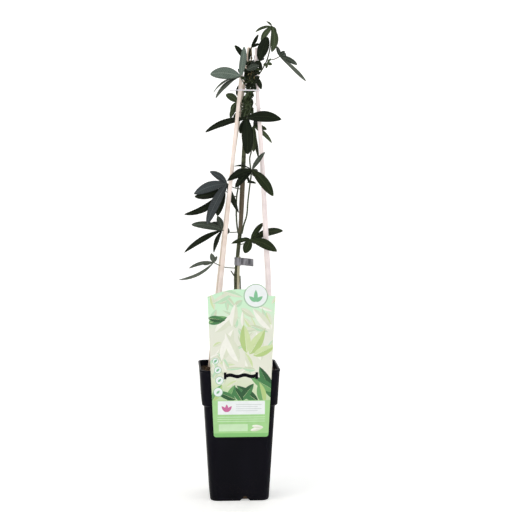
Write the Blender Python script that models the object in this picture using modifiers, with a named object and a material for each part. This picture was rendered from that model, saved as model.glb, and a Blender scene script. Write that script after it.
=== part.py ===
"""Potted passion flower: a young climber tied to three split canes in a tall square nursery pot.

Run it with blender --background --python part.py, or from Blender's text editor.
The origin is the middle of the pot's flat underside, +Z is up, and the label card faces -Y.
All sizes below are in millimetres and are turned into metres where Blender needs them.
"""

import math
import random

import bmesh
import bpy
from mathutils import Matrix, Vector
from mathutils.geometry import convex_hull_2d

MM = 0.001
GAP = 0.35  # air between two pieces that touch on the real plant
UP = Vector((0, 0, 1))
FRONT = Vector((0, -1, 0))

# Pot: a tapering square body under a deeper, wider collar with a small lip.
RIM_HEIGHT = 204
RIM_WIDTH = 123
LIP_HEIGHT = 3.4
LIP_REACH = 0.7
COLLAR_TOP_WIDTH = RIM_WIDTH - 2 * LIP_REACH
COLLAR_FOOT_WIDTH = 115.6
COLLAR_FOOT_HEIGHT = 150
STEP_HEIGHT = 3.0
BODY_TOP_WIDTH = 108
FOOT_WIDTH = 90.7
EDGE_BEVEL = 3.2
WALL = 1.8
CORNER_RADIUS = 12
CORNER_STEPS = 4
CUT_OVERRUN = 5  # how far a cutter runs past what it cuts
RIM_ROUNDING = (0.5, 0.45)  # height and depth of the lip's rounded top edge
FOOT_ROUNDING = (0.3, 0.35)  # where the middle of the rounded foot lies, in EDGE_BEVEL
FLOOR_INSET = 1  # how much narrower the inside of the floor is than the outside

# Underside: one air channel from each side, off the middle, and four drain holes.
CHANNEL_OFFSET = 8
CHANNEL_FOOT_HALF = 8
CHANNEL_TOP_RADIUS = 3.6
CHANNEL_HEIGHT = 8
CHANNEL_END = 13  # distance of its blind end from the pot's axis
CHANNEL_ARC_STEPS = 6
DRAIN_RADIUS = 4.5
DRAIN_OFFSET = 27

# Compost, filled to just under the lip.
SOIL_HEIGHT = 197
SOCKET_SIDES = 12
SOCKET_POINTS = 6  # points of the main stem's path that its socket follows

# Label card: stands against the pot's lip and the foot of its collar.
CARD_THICKNESS = 0.6
CARD_FOOT_HEIGHT = 101.4
CARD_FOOT_HALF = 41.6
CARD_WAIST = 104  # how far up the card its taper changes
CARD_WAIST_HALF = 46.3
CARD_SHOULDER = 217
CARD_TOP_HALF = 51.2
CARD_ARCH = 10.5
CARD_ARCH_HALF = 46
CARD_ARCH_CENTRE = -4
CARD_CORNER = 4
CARD_SIDE_SHIFT = 1.5
DISC_CENTRE = (21.5, 217.5)
DISC_RADIUS = 18
CARD_TOP_STEPS = 34
SLOT_CENTRE = (-0.5, 95)
SLOT_HALF_LENGTH = 22
SLOT_HALF_GAP = 1.6
SLOT_WAVE = 1.2
SLOT_END_HALF = 5
SLOT_END_WIDTH = 2.6
SLOT_STEPS = 12

# Canes: (x, y, z, radius) from the foot in the compost to the square-cut top.
CANES = {
    "cane_left": [(-44.2, -40.6, 170, 3.9), (-28.7, -34, 332, 3.6), (-15.4, -23, 461, 3.3),
                  (2.1, -12, 629, 2.9), (6.6, -9, 676, 2.7)],
    "cane_right": [(48.6, -12, 172, 4.8), (46.2, -11, 329, 4.8), (43.7, -10, 378, 4.6),
                   (36.6, -7, 522, 3.7), (29.3, -5, 631, 3.0), (27.9, -5, 694, 2.8)],
    "cane_back": [(-45.6, 41, 172, 3.3), (-30.3, 34, 326, 3.0), (-6.2, 20, 529, 2.8),
                  (8.9, 12.6, 632, 2.7), (17.6, 9, 696, 2.6)],
}
TIE_HEIGHT = 629
TIE_WIDTH = 2.4
TIE_THICKNESS = 0.6
TIE_CLEARANCE = 0.8  # the canes lean, so the strap clears them by a little more than GAP
TIE_TAIL = 13
TIE_TAIL_START = 3.2  # from the left cane's axis

# Stems: (x, y, z, radius) along each one.
MAIN_STEM = [(-2.6, 4, 172, 3.4), (-3.4, 4, 328, 3.2), (-2.3, 4, 352, 3.1), (-0.5, 3.2, 377, 3.0),
             (3.9, 2, 422, 3.0), (5.7, 1.2, 461, 3.3), (8.5, 1, 522, 3.0), (11.7, 2, 587, 2.3),
             (16.4, 3, 630, 1.6), (22.5, 3, 652, 1.3), (31, 3.5, 653, 1.0), (40.2, 1, 667, 1.0),
             (45.6, 0, 679, 0.95), (49.6, 2, 696, 0.9), (51.9, 3, 719, 0.8)]
SIDE_STEM_RIGHT = [(8.6, -1, 422, 1.1), (13.3, -1, 437.5, 1.05), (15.2, -1, 460, 1.0),
                   (18.2, -1, 485.4, 1.0), (20, -1, 501, 1.0), (17.8, -2, 523, 0.95),
                   (20, -2, 535, 0.95), (23.6, -3, 562, 0.85)]
SIDE_STEM_LEFT = [(-1.4, 6.8, 420, 1.1), (-2.5, 8, 437, 1.1), (-2, 9, 464, 1.05),
                  (0.2, 9, 479, 1.0), (4, 8.4, 507, 0.9)]
FOOT_SHOOT = [(3.6, 1.5, 172, 0.9), (3.5, 1.6, 250, 0.9), (3.3, 1.6, 318, 0.9), (2.9, 1.6, 343, 0.8)]
SPLINT = [(-0.2, -2.2, 172, 2.2), (-0.2, -2.2, 328, 2.2), (1.3, -2.9, 373, 2.1)]
STUB = [(-3.2, 3.4, 339, 1.2), (-7.4, 2.5, 345, 1.1), (-11.4, 1.8, 351, 0.9)]
SIDE_STEM_FORK = 409

# Soft grey tape that holds the stem to its splint, with a flag to the right.
TAPE_BOTTOM = 359
TAPE_WIDTH = 13
TAPE_THICKNESS = 0.6
TAPE_CLEARANCE = 0.8
TAPE_FLAG = 20.5
TAPE_FLAG_START = (4.7, -4.4)  # from the stem's axis
FLAG_INSET = 0.1  # a loose end is this much narrower than its strap
BAND_STEPS = 16

# Leaves: where the stalk leaves its stem, the joint of the blades, and each blade as
# (clock angle seen from the front, length, width, lean towards the front, roll about its midrib),
# with a sixth number, in lengths, where its midrib also bends sideways.
LEAVES = {
    "leaf_grey": ("main_stem", 634, (2.3, -22, 649), [
        (-86, 46, 18.5, 5, 0), (9, 46, 12.5, -2, 20), (-132, 51, 14, 8, 60), (-119, 48, 11, 2, 62)]),
    "leaf_crown_right": ("main_stem", 660, (31.8, -10.5, 674), [
        (20, 39, 17, -3, 0), (50, 22, 9, -60, 0), (170, 16, 7, 20, 30)]),
    "leaf_between_canes": ("main_stem", 648, (20.5, -0.5, 695), [
        (29, 23, 7, 0, 30), (64, 14, 5, -10, 30), (-62, 27, 8, -30, 0)]),
    "leaf_bud": ("main_stem", 668, (44.4, -4, 670), [
        (-110, 6, 4, 0, 20), (100, 8, 5, 10, 0), (35, 10, 4, 5, 30), (-170, 7, 4, 0, 0)]),
    "leaf_top": ("main_stem", 712, (52.1, -3, 727), [
        (-109, 27, 6, 3, 40), (-142, 28, 11, 0, 0), (180, 39, 13, 6, 0, -0.1), (-46, 12, 4, -9, 30),
        (150, 20, 8, -50, 0)]),
    "leaf_reach_right": ("main_stem", 676, (64.8, 2, 682), [
        (133, 55, 11, 2, 70), (117, 30, 9, 13, 25), (-19, 16, 6, 7, 0), (42, 11, 6, 0, 0),
        (80, 20, 9, -55, 10)]),
    "leaf_small_left": ("main_stem", 600, (-1.2, -2, 612), [
        (-58, 21, 11.5, 6, 0), (-146, 19, 7, 6, 20), (-157, 28, 8, -14, 10)]),
    "leaf_spread": ("main_stem", 580, (12.4, -9, 586), [
        (-108, 67, 10, -8, 0), (92, 54, 17, 12, 0), (178, 55, 18.5, 6, 0), (-157, 25, 10, -6, 0)]),
    "leaf_behind_right": ("main_stem", 566, (24.2, 8, 575), [
        (104, 22, 8, -10, 20), (131, 40, 7, -8, 0), (173, 52, 9, 0, 40), (-172, 38, 10, 8, 10),
        (45, 26, 10, -55, 0)]),
    "leaf_middle": ("main_stem", 498, (20.5, -15, 507), [
        (38, 31, 9, 2, 10), (141, 51, 15, 10, 0), (-113, 45, 15, 22, 0), (-78, 29, 7, 17, 65),
        (-136, 37, 11, 6, 0)]),
    "leaf_blue": ("main_stem", 478, (-17.2, -4, 486), [
        (-55, 33, 11, 7, 0), (-107, 54, 16, 6, 0), (-153, 70, 15, 10, 15), (160, 48, 12, 7, 40)]),
    "leaf_shadow": ("side_stem_left", 466, (-21, 9, 476.5), [
        (-122, 73, 11, 0, 0), (-165, 42, 13, -3, 0), (-103, 48, 13, -8, 10), (-60, 30, 11, -45, 0)]),
    "leaf_low_left": ("main_stem", 411, (-25, -5, 414.5), [
        (-80, 48, 12, 4, 0), (-18, 23, 10, 3, 0), (-119, 68, 14, 3, 45), (-159, 37, 12, 2, 45),
        (-60, 30, 10, -50, 0)]),
    "leaf_lowest": ("main_stem", 355, (-38.2, 0, 364), [
        (-15, 15, 8, 8, 0), (30, 11, 5, 0, 0), (-103, 39, 7, 3, 20), (-116, 60, 5, 0, 0, -0.16),
        (-75, 26, 9, -55, 0)]),
    "leaf_right": ("main_stem", 392, (18.5, -13, 400), [
        (44, 33, 10.5, -27, 0), (78, 57, 12.5, -34, 0), (114, 45, 16, 13, 0), (-156, 23, 14, 10, 0),
        (-101, 31, 7, 11, 0)]),
    "leaf_back_high": ("main_stem", 560, (14, 24, 589), [
        (-109, 50, 8, -35, 0), (92, 56, 14, -35, 0), (175, 56, 15, -35, 0), (0, 30, 12, -78, 0)]),
    "leaf_back_middle": ("main_stem", 498, (23, 25, 508), [
        (141, 50, 13, -35, 0), (-113, 42, 13, -35, 0), (39, 27, 7, -35, 0), (-10, 30, 12, -78, 0)]),
    "leaf_back_low": ("main_stem", 400, (21, 26, 398), [
        (113, 40, 12, -35, 0), (77, 42, 10, -42, 0), (44, 26, 8, -50, 0), (-153, 22, 10, -42, 0),
        (-99, 20, 7, -42, 0), (0, 30, 12, -78, 0)]),
}
BLADE_THICKNESS = 0.9
BLADE_STEPS = 4
BLADE_FOOT_HALF = 0.7
BLADE_TIP_HALF = 0.55
BLADE_BULGE = 0.88  # under 1 moves the widest place towards the foot
BLADE_BLUNTNESS = 0.6  # under 1 rounds the tip
BLADE_BOW = 0.07  # how far the midrib bows up, in lengths
BLADE_FORWARD = 0.5  # how much of that bow is towards the blade's face
BLADE_FOLD = 0.16  # how far the edges stand out of the midrib's plane, in half widths
STALK_RADIUS = 0.8
STALK_RUN = 2.5  # straight start of a stalk, square to its stem
STALK_SAG = 0.08
HUB_RADIUS = 1.5
SMOOTH_ANGLE = 35  # degrees, above which an edge stays hard

# Crown tangles: a shoot twines up the main stem and carries small crowded blades.
# name: lowest and highest z, centre at each end, half widths of its space in x and y, blades, seed
TANGLES = {
    "tangle_lower": (590, 633, (12.4, 2), (17.4, 3), (9, 15), 10, 7),
    "tangle_upper": (640, 674, (16, -7), (17, -6), (15, 13), 12, 3),
}
TWINE_TURNS = 1.4
TWINE_RADIUS = 0.9
TWINE_ORBIT = 5.0
TWINE_STEPS = 14
TANGLE_BLADE_LENGTH = (11, 21)
TANGLE_BLADE_WIDTH = 0.42  # in lengths
TANGLE_BLADE_STEPS = 3
TANGLE_TRIES = 40
PROBE_ROWS = 5
PROBE_ROW = 5  # points in a row across the blade
TANGLE_CLEARANCE = 1.6  # beyond a blade's thickness, from another leaf's blades
TANGLE_BELOW = 6  # blades hang this far under the space and
TANGLE_ABOVE = 4  # stand this far over it
TWINE_INSET = 4  # the shoot starts and ends this far inside the space

BLACK_PLASTIC = (0.012, 0.013, 0.016, 1)
COMPOST_BROWN = (0.035, 0.026, 0.018, 1)
CARD_GREEN = (0.60, 0.80, 0.58, 1)
BAMBOO_CREAM = (0.78, 0.66, 0.55, 1)
STRAP_WHITE = (0.80, 0.78, 0.74, 1)
TAPE_GREY = (0.13, 0.13, 0.145, 1)
STEM_OLIVE = (0.10, 0.095, 0.06, 1)
SPLINT_TAN = (0.48, 0.44, 0.32, 1)
LEAF_GREEN = (0.022, 0.035, 0.018, 1)
LEAF_GREY = (0.13, 0.16, 0.13, 1)
LEAF_BLUE = (0.05, 0.058, 0.068, 1)
LEAF_COLOURS = {"leaf_grey": LEAF_GREY, "leaf_blue": LEAF_BLUE}


# ---------------------------------------------------------------- scene and helpers

def clear_scene():
    for item in list(bpy.data.objects):
        bpy.data.objects.remove(item, do_unlink=True)


def new_collection(name):
    made = bpy.data.collections.new(name)
    bpy.context.scene.collection.children.link(made)
    return made


def material(name, colour, roughness):
    made = bpy.data.materials.new(name)
    made.use_nodes = True
    shader = made.node_tree.nodes["Principled BSDF"]
    shader.inputs["Base Color"].default_value = colour
    shader.inputs["Roughness"].default_value = roughness
    shader.inputs["Metallic"].default_value = 0.0
    return made


def add_object(name, mesh, collection):
    made = bpy.data.objects.new(name, mesh)
    collection.objects.link(made)
    return made


def finish(item, colour, roughness):
    """Gives a piece its own material and smooth shading that keeps its hard edges."""
    item.data.materials.clear()
    item.data.materials.append(material(item.name, colour, roughness))
    item.data.shade_smooth()
    item.data.set_sharp_from_angle(angle=math.radians(SMOOTH_ANGLE))


def evaluated_mesh(item):
    """The mesh that the item's modifiers, or its curve, come to, with loose caps welded."""
    graph = bpy.context.evaluated_depsgraph_get()
    mesh = bpy.data.meshes.new_from_object(item.evaluated_get(graph))
    cage = bmesh.new()
    cage.from_mesh(mesh)
    bmesh.ops.remove_doubles(cage, verts=cage.verts, dist=0.001 * MM)
    bmesh.ops.dissolve_degenerate(cage, edges=cage.edges, dist=0.001 * MM)
    cage.to_mesh(mesh)
    cage.free()
    return mesh


def to_mesh_object(item, collection):
    """Replaces a curve, or an object with modifiers, by a plain mesh object in its place."""
    name = item.name
    made = add_object(name + "_mesh", evaluated_mesh(item), collection)
    made.matrix_world = item.matrix_world
    bpy.data.objects.remove(item, do_unlink=True)
    made.name = name
    return made


def remove_all(collection):
    for item in list(collection.objects):
        bpy.data.objects.remove(item, do_unlink=True)
    bpy.data.collections.remove(collection)


def combine(base, others, operation):
    """One Boolean of the base with a whole collection, applied. The collection goes."""
    for item in others.objects:
        item.hide_render = True
    step = base.modifiers.new(operation.lower(), "BOOLEAN")
    step.operation = operation
    step.operand_type = "COLLECTION"
    step.collection = others
    step.solver = "EXACT"
    bpy.context.view_layer.update()
    made = to_mesh_object(base, base.users_collection[0])
    remove_all(others)
    return made


# ---------------------------------------------------------------- shapes

def rounded_square(width, radius, height):
    """A ring of points round a square with rounded corners."""
    reach = width / 2 - radius
    ring = []
    for corner in range(4):
        middle = math.radians(45 + 90 * corner)
        across = math.copysign(reach, math.cos(middle))
        deep = math.copysign(reach, math.sin(middle))
        centre = Vector((across, deep, height))
        for step in range(CORNER_STEPS + 1):
            turn = math.radians(90 * corner + 90 * step / CORNER_STEPS)
            ring.append(centre + radius * Vector((math.cos(turn), math.sin(turn), 0)))
    return ring


def loft(name, profile, radius, collection):
    """A closed solid through rounded squares, from (height, width) pairs, bottom to top."""
    cage = bmesh.new()
    rings = []
    for height, width in profile:
        points = rounded_square(width, radius, height)
        rings.append([cage.verts.new(point * MM) for point in points])
    count = len(rings[0])
    for lower, upper in zip(rings, rings[1:]):
        for i in range(count):
            k = (i + 1) % count
            cage.faces.new((lower[i], lower[k], upper[k], upper[i]))
    cage.faces.new(list(reversed(rings[0])))
    cage.faces.new(rings[-1])
    mesh = bpy.data.meshes.new(name)
    cage.to_mesh(mesh)
    cage.free()
    return add_object(name, mesh, collection)


def plate(name, outlines, thickness, collection):
    """A flat piece in its own XY plane: the first outline is its edge and the others are holes."""
    curve = bpy.data.curves.new(name, "CURVE")
    curve.dimensions = "2D"
    curve.fill_mode = "BOTH"
    curve.extrude = thickness / 2 * MM
    for outline in outlines:
        spline = curve.splines.new("POLY")
        spline.points.add(len(outline) - 1)
        spline.use_cyclic_u = True
        for point, (x, y) in zip(spline.points, outline):
            point.co = (x * MM, y * MM, 0, 1)
    return to_mesh_object(add_object(name, curve, collection), collection)


def place(item, matrix):
    """Moves a finished mesh by a matrix in millimetres, in its points."""
    matrix = matrix.copy()
    matrix.translation = matrix.translation * MM
    item.data.transform(matrix)
    return item


def smooth_path(points, steps=2):
    """Points and radii on a smooth curve through the given ones (Catmull-Rom)."""
    path = []
    last = len(points) - 1
    for i in range(last):
        before, here, there, after = (
            Vector(points[max(0, min(last, k))]).resized(4) for k in (i - 1, i, i + 1, i + 2))
        for step in range(steps):
            t = step / steps
            path.append(0.5 * (2 * here + t * (there - before)
                               + t ** 2 * (2 * before - 5 * here + 4 * there - after)
                               + t ** 3 * (3 * here - before - 3 * there + after)))
    path.append(Vector(points[last]).resized(4))
    return [(point.xyz, point.w) for point in path]


def tube(name, path, collection, resolution=2):
    """A closed tube with 4 + 2 x resolution sides along (point, radius) pairs."""
    curve = bpy.data.curves.new(name, "CURVE")
    curve.dimensions = "3D"
    curve.bevel_depth = MM
    curve.bevel_resolution = resolution
    curve.use_fill_caps = True
    spline = curve.splines.new("POLY")
    spline.points.add(len(path) - 1)
    for point, (centre, radius) in zip(spline.points, path):
        point.co = (*(centre * MM), 1)
        point.radius = radius
    return to_mesh_object(add_object(name, curve, collection), collection)


def at_height(path, height):
    """The centre, the radius and the direction of a rising path at a height."""
    for (low, low_radius), (high, high_radius) in zip(path, path[1:]):
        if low.z <= height <= high.z:
            t = (height - low.z) / (high.z - low.z)
            radius = low_radius + t * (high_radius - low_radius)
            return low.lerp(high, t), radius, (high - low).normalized()
    raise ValueError(f"no stem at {height} mm")


def leave_stem(path, height, toward, own_radius):
    """Where a stalk starts, just clear of its stem, and its level direction."""
    centre, radius, rise = at_height(path, height)
    level = Vector((toward.x - centre.x, toward.y - centre.y, 0)).normalized()
    slope = level.dot(rise) / rise.z
    reach = radius * math.hypot(1, slope) + own_radius * abs(slope) + GAP
    return centre + level * reach, level


# ---------------------------------------------------------------- leaves

def blade_frame(clock, lean, roll):
    """The direction of a blade, the way its face looks and the way across it."""
    clock, lean, roll = (math.radians(angle) for angle in (clock, lean, roll))
    sideways = math.sin(clock) * math.cos(lean)
    upwards = math.cos(clock) * math.cos(lean)
    along = Vector((sideways, -math.sin(lean), upwards))
    face = (FRONT - FRONT.dot(along) * along).normalized()
    face.rotate(Matrix.Rotation(roll, 3, along))
    return along, face, along.cross(face)


def half_width(t, width):
    """Half the blade's width at t, from its foot at 0 to its blunt tip at 1."""
    swell = max(0.0, math.sin(math.pi * t ** BLADE_BULGE)) ** BLADE_BLUNTNESS
    least = BLADE_FOOT_HALF + t * (BLADE_TIP_HALF - BLADE_FOOT_HALF)
    return max(least, swell * width / 2)


def blade_point(foot, shape, t, across):
    """A point of the blade: t along the midrib, across from -1 to 1."""
    clock, length, width, lean, roll, *bend = shape
    along, face, side = blade_frame(clock, lean, roll)
    bow = (UP - UP.dot(along) * along + BLADE_FORWARD * face) * BLADE_BOW
    if bend:
        bow += side * bend[0]
    centre = foot + along * length * t + bow * length * 4 * t * (1 - t)
    half = half_width(t, width)
    return centre + side * half * across + face * BLADE_FOLD * half * abs(across)


def blade(name, foot, shape, steps, collection):
    """One leaf blade: a grid bent to its outline, with thickness."""
    cage = bmesh.new()
    bmesh.ops.create_grid(cage, x_segments=steps, y_segments=2, size=1)
    for vert in cage.verts:
        t = (1 - math.cos(math.pi * (vert.co.x + 1) / 2)) / 2
        vert.co = blade_point(foot, shape, t, vert.co.y) * MM
    mesh = bpy.data.meshes.new(name)
    cage.to_mesh(mesh)
    cage.free()
    made = add_object(name, mesh, collection)
    skin = made.modifiers.new("thickness", "SOLIDIFY")
    skin.thickness = BLADE_THICKNESS * MM
    skin.offset = 0
    return made


def keep_outer_shell(item):
    """Fills the hollows that fusing sealed and drops loose scraps: only the largest shell stays."""
    cage = bmesh.new()
    cage.from_mesh(item.data)
    cage.verts.ensure_lookup_table()
    unseen = set(cage.verts)
    shells = []
    while unseen:
        shell = set()
        edge_of_shell = [unseen.pop()]
        while edge_of_shell:
            vert = edge_of_shell.pop()
            shell.add(vert)
            for link in vert.link_edges:
                other = link.other_vert(vert)
                if other in unseen:
                    unseen.remove(other)
                    edge_of_shell.append(other)
        shells.append(shell)
    largest = max(shells, key=len)
    bmesh.ops.delete(cage, geom=[vert for vert in cage.verts if vert not in largest], context="VERTS")
    cage.to_mesh(item.data)
    cage.free()
    return item


def hub(centre, collection):
    """The small knuckle where the blades of a leaf meet its stalk."""
    cage = bmesh.new()
    bmesh.ops.create_icosphere(cage, subdivisions=1, radius=HUB_RADIUS * MM,
                               matrix=Matrix.Translation(centre * MM))
    mesh = bpy.data.meshes.new("hub")
    cage.to_mesh(mesh)
    cage.free()
    return add_object("hub", mesh, collection)


def stalk_path(stem, height, joint):
    """A leaf stalk: square off its stem, then a sagging run up to the joint."""
    start, level = leave_stem(stem, height, joint, STALK_RADIUS)
    bend = start + level * STALK_RUN
    middle = bend.lerp(joint, 0.5) - UP * STALK_SAG * (joint - bend).length
    run = smooth_path([(*point, STALK_RADIUS) for point in (bend, middle, joint)])
    return [(start, STALK_RADIUS)] + run


def leaf(name, stem, height, joint, blades, parts):
    """A whole leaf: its stalk, its knuckle and its blades, fused."""
    joint = Vector(joint)
    pieces = new_collection(name + "_pieces")
    made = tube(name, stalk_path(stem, height, joint), parts, resolution=1)
    hub(joint, pieces)
    for number, shape in enumerate(blades):
        blade(f"{name}_blade_{number}", joint, shape, BLADE_STEPS, pieces)
    return keep_outer_shell(combine(made, pieces, "UNION"))


def side_stem(stem, points):
    """A thinner stem that forks off another: level at first, then along its own points."""
    radius = points[0][3]
    start, level = leave_stem(stem, SIDE_STEM_FORK, Vector(points[0][:3]), radius)
    return [(start, radius)] + smooth_path([(*(start + level), radius)] + points)


# ---------------------------------------------------------------- crown tangles

def distance_to(path, point):
    """How far a point lies from the surface of a path of (point, radius)."""
    best = math.inf
    for (a, radius_a), (b, radius_b) in zip(path, path[1:]):
        run = b - a
        t = max(0.0, min(1.0, (point - a).dot(run) / run.length_squared))
        best = min(best, (point - a - t * run).length - radius_a - t * (radius_b - radius_a))
    return best


def blade_probe(foot, shape):
    """Rows of points across a blade, foot first, to test what it would touch."""
    return [blade_point(foot, shape, row / PROBE_ROWS, 2 * step / (PROBE_ROW - 1) - 1)
            for row in range(PROBE_ROWS + 1) for step in range(PROBE_ROW)]


def all_blade_probes():
    """Points on every blade of the separate leaves, so that a tangle keeps clear of them."""
    found = []
    for _, _, joint, blades in LEAVES.values():
        for shape in blades:
            found += blade_probe(Vector(joint), shape)
    return found


def twine_path(plan, stem):
    """The shoot of a tangle: off the main stem, then twining round the middle of its space."""
    low, high, foot_centre, top_centre, _, _, seed = plan
    foot = Vector((*foot_centre, low))
    top = Vector((*top_centre, high))
    rise = (top - foot).normalized() * TWINE_INSET
    path = []
    for step in range(TWINE_STEPS + 1):
        t = step / TWINE_STEPS
        turn = 2 * math.pi * TWINE_TURNS * t + seed
        orbit = TWINE_ORBIT * Vector((math.cos(turn), math.sin(turn), 0))
        path.append(((foot + rise).lerp(top - rise, t) + orbit, TWINE_RADIUS))
    start, level = leave_stem(stem, low, path[0][0], TWINE_RADIUS)
    return [(start, TWINE_RADIUS), (start + level, TWINE_RADIUS)] + path


def tangle(name, plan, limbs, taken, stem, parts):
    """A twining shoot with small crowded blades, each tried until it touches nothing."""
    low, high, foot_centre, top_centre, (half_x, half_y), count, seed = plan
    dice = random.Random(seed)

    def inside(point):
        if not low - TANGLE_BELOW <= point.z <= high + TANGLE_ABOVE:
            return False
        middle = Vector(foot_centre).lerp(Vector(top_centre), (point.z - low) / (high - low))
        off = point.xy - middle
        return (off.x / half_x) ** 2 + (off.y / half_y) ** 2 <= 1

    def free(point):
        if any(distance_to(limb, point) < BLADE_THICKNESS for limb in limbs):
            return False
        return all((point - other).length > BLADE_THICKNESS + TANGLE_CLEARANCE for other in taken)

    twine = twine_path(plan, stem)
    pieces = new_collection(name + "_pieces")
    made = tube(name, twine, parts, resolution=1)
    fitted = 0
    for _ in range(count * TANGLE_TRIES):
        if fitted == count:
            break
        foot = dice.choice(twine[1:-1])[0]
        length = dice.uniform(*TANGLE_BLADE_LENGTH)
        shape = (dice.uniform(-180, 180), length, TANGLE_BLADE_WIDTH * length,
                 dice.uniform(-70, 70), dice.uniform(-60, 60))
        probe = blade_probe(foot, shape)
        if all(inside(point) for point in probe[PROBE_ROW:]) and all(free(point) for point in probe):
            blade(f"{name}_blade_{fitted}", foot, shape, TANGLE_BLADE_STEPS, pieces)
            fitted += 1
    print(name, "carries", fitted, "blades")
    return keep_outer_shell(combine(made, pieces, "UNION"))


# ---------------------------------------------------------------- pot and compost

def body_width(height):
    """The pot's width at a height below its collar."""
    return FOOT_WIDTH + (BODY_TOP_WIDTH - FOOT_WIDTH) * height / (COLLAR_FOOT_HEIGHT - STEP_HEIGHT)


def outer_profile():
    """The outside of the pot, from its foot to the rounded top of its lip."""
    body_top = COLLAR_FOOT_HEIGHT - STEP_HEIGHT
    lip_foot = RIM_HEIGHT - LIP_HEIGHT
    rounding_height, rounding_inset = (share * EDGE_BEVEL for share in FOOT_ROUNDING)
    rim_height, rim_inset = RIM_ROUNDING
    return [(0, FOOT_WIDTH - 2 * EDGE_BEVEL),
            (rounding_height, FOOT_WIDTH - 2 * rounding_inset),
            (EDGE_BEVEL, body_width(EDGE_BEVEL)), (body_top, BODY_TOP_WIDTH),
            (COLLAR_FOOT_HEIGHT, COLLAR_FOOT_WIDTH), (lip_foot, COLLAR_TOP_WIDTH),
            (lip_foot + LIP_REACH, RIM_WIDTH), (RIM_HEIGHT - rim_height, RIM_WIDTH),
            (RIM_HEIGHT, RIM_WIDTH - 2 * rim_inset)]


def inner_profile(shrink, top):
    """The inside of the walls, moved in by shrink, from the floor to a height."""
    inset = 2 * (WALL + shrink)
    body_top = COLLAR_FOOT_HEIGHT - STEP_HEIGHT + WALL
    floor = WALL + shrink
    floor_width = FOOT_WIDTH - 2 * EDGE_BEVEL - FLOOR_INSET - 2 * shrink
    points = [(floor, floor_width), (floor + EDGE_BEVEL, body_width(EDGE_BEVEL) - inset),
              (body_top, BODY_TOP_WIDTH - inset),
              (body_top + STEP_HEIGHT, COLLAR_FOOT_WIDTH - inset)]
    slope = (COLLAR_TOP_WIDTH - COLLAR_FOOT_WIDTH) / (RIM_HEIGHT - COLLAR_FOOT_HEIGHT)
    width = COLLAR_FOOT_WIDTH - inset + slope * (top - body_top - STEP_HEIGHT)
    return points + [(top, width)]


def channel_section(grow):
    """The round-topped, flared section of an air channel, grown outwards."""
    radius = CHANNEL_TOP_RADIUS + grow
    centre = CHANNEL_HEIGHT - CHANNEL_TOP_RADIUS
    foot = CHANNEL_FOOT_HALF + grow
    points = [(-foot, -CUT_OVERRUN), (-foot, 0)]
    for step in range(CHANNEL_ARC_STEPS + 1):
        turn = math.pi * (1 - step / CHANNEL_ARC_STEPS)
        points.append((radius * math.cos(turn), centre + radius * math.sin(turn)))
    return points + [(foot, 0), (foot, -CUT_OVERRUN)]


def channels(name, grow, collection):
    """The four channels, or the ribs over them, one from each side."""
    outer_end = FOOT_WIDTH / 2 + CUT_OVERRUN
    inner_end = CHANNEL_END - grow
    length = outer_end - inner_end
    for side in range(4):
        bar = plate(f"{name}_{side}", [channel_section(grow)], length, collection)
        upright = Matrix.Rotation(math.radians(90), 4, "X")
        shift = Matrix.Translation((CHANNEL_OFFSET, -(outer_end + inner_end) / 2, 0))
        place(bar, Matrix.Rotation(math.radians(90 * side), 4, "Z") @ shift @ upright)


def drain_holes(collection):
    """A cutter for each hole in the floor."""
    for x in (-DRAIN_OFFSET, DRAIN_OFFSET):
        for y in (-DRAIN_OFFSET, DRAIN_OFFSET):
            cage = bmesh.new()
            bmesh.ops.create_cone(cage, cap_ends=True, segments=12, radius1=DRAIN_RADIUS * MM,
                                  radius2=DRAIN_RADIUS * MM, depth=2 * CUT_OVERRUN * MM,
                                  matrix=Matrix.Translation((x * MM, y * MM, 0)))
            mesh = bpy.data.meshes.new("drain")
            cage.to_mesh(mesh)
            cage.free()
            add_object("drain", mesh, collection)


def build_pot(parts):
    """The hollow pot, with its ribs standing up inside over the air channels."""
    pot = loft("pot", outer_profile(), CORNER_RADIUS, parts)
    cavity_cutters = new_collection("cavity_cutters")
    cavity = loft("cavity", inner_profile(0, RIM_HEIGHT + CUT_OVERRUN), CORNER_RADIUS - WALL, parts)
    ribs = new_collection("ribs")
    channels("rib", WALL, ribs)
    cavity = combine(cavity, ribs, "DIFFERENCE")
    parts.objects.unlink(cavity)
    cavity_cutters.objects.link(cavity)
    channels("channel", 0, cavity_cutters)
    drain_holes(cavity_cutters)
    return combine(pot, cavity_cutters, "DIFFERENCE")


def build_soil(parts, rooted):
    """The compost, with a socket for each cane and stem that stands in it."""
    soil = loft("soil", inner_profile(GAP, SOIL_HEIGHT), CORNER_RADIUS - WALL - GAP, parts)
    cutters = new_collection("soil_cutters")
    channels("soil_rib", WALL + GAP, cutters)
    for name, path in rooted.items():
        flats = math.cos(math.pi / SOCKET_SIDES)
        wider = [(point, (radius + GAP) / flats) for point, radius in path]
        downward = (path[0][0] - path[1][0]).normalized()
        wider.insert(0, (path[0][0] + downward * GAP, wider[0][1]))
        tube(name + "_socket", wider, cutters, resolution=SOCKET_SIDES // 2 - 2)
    return combine(soil, cutters, "DIFFERENCE")


# ---------------------------------------------------------------- card

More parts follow.
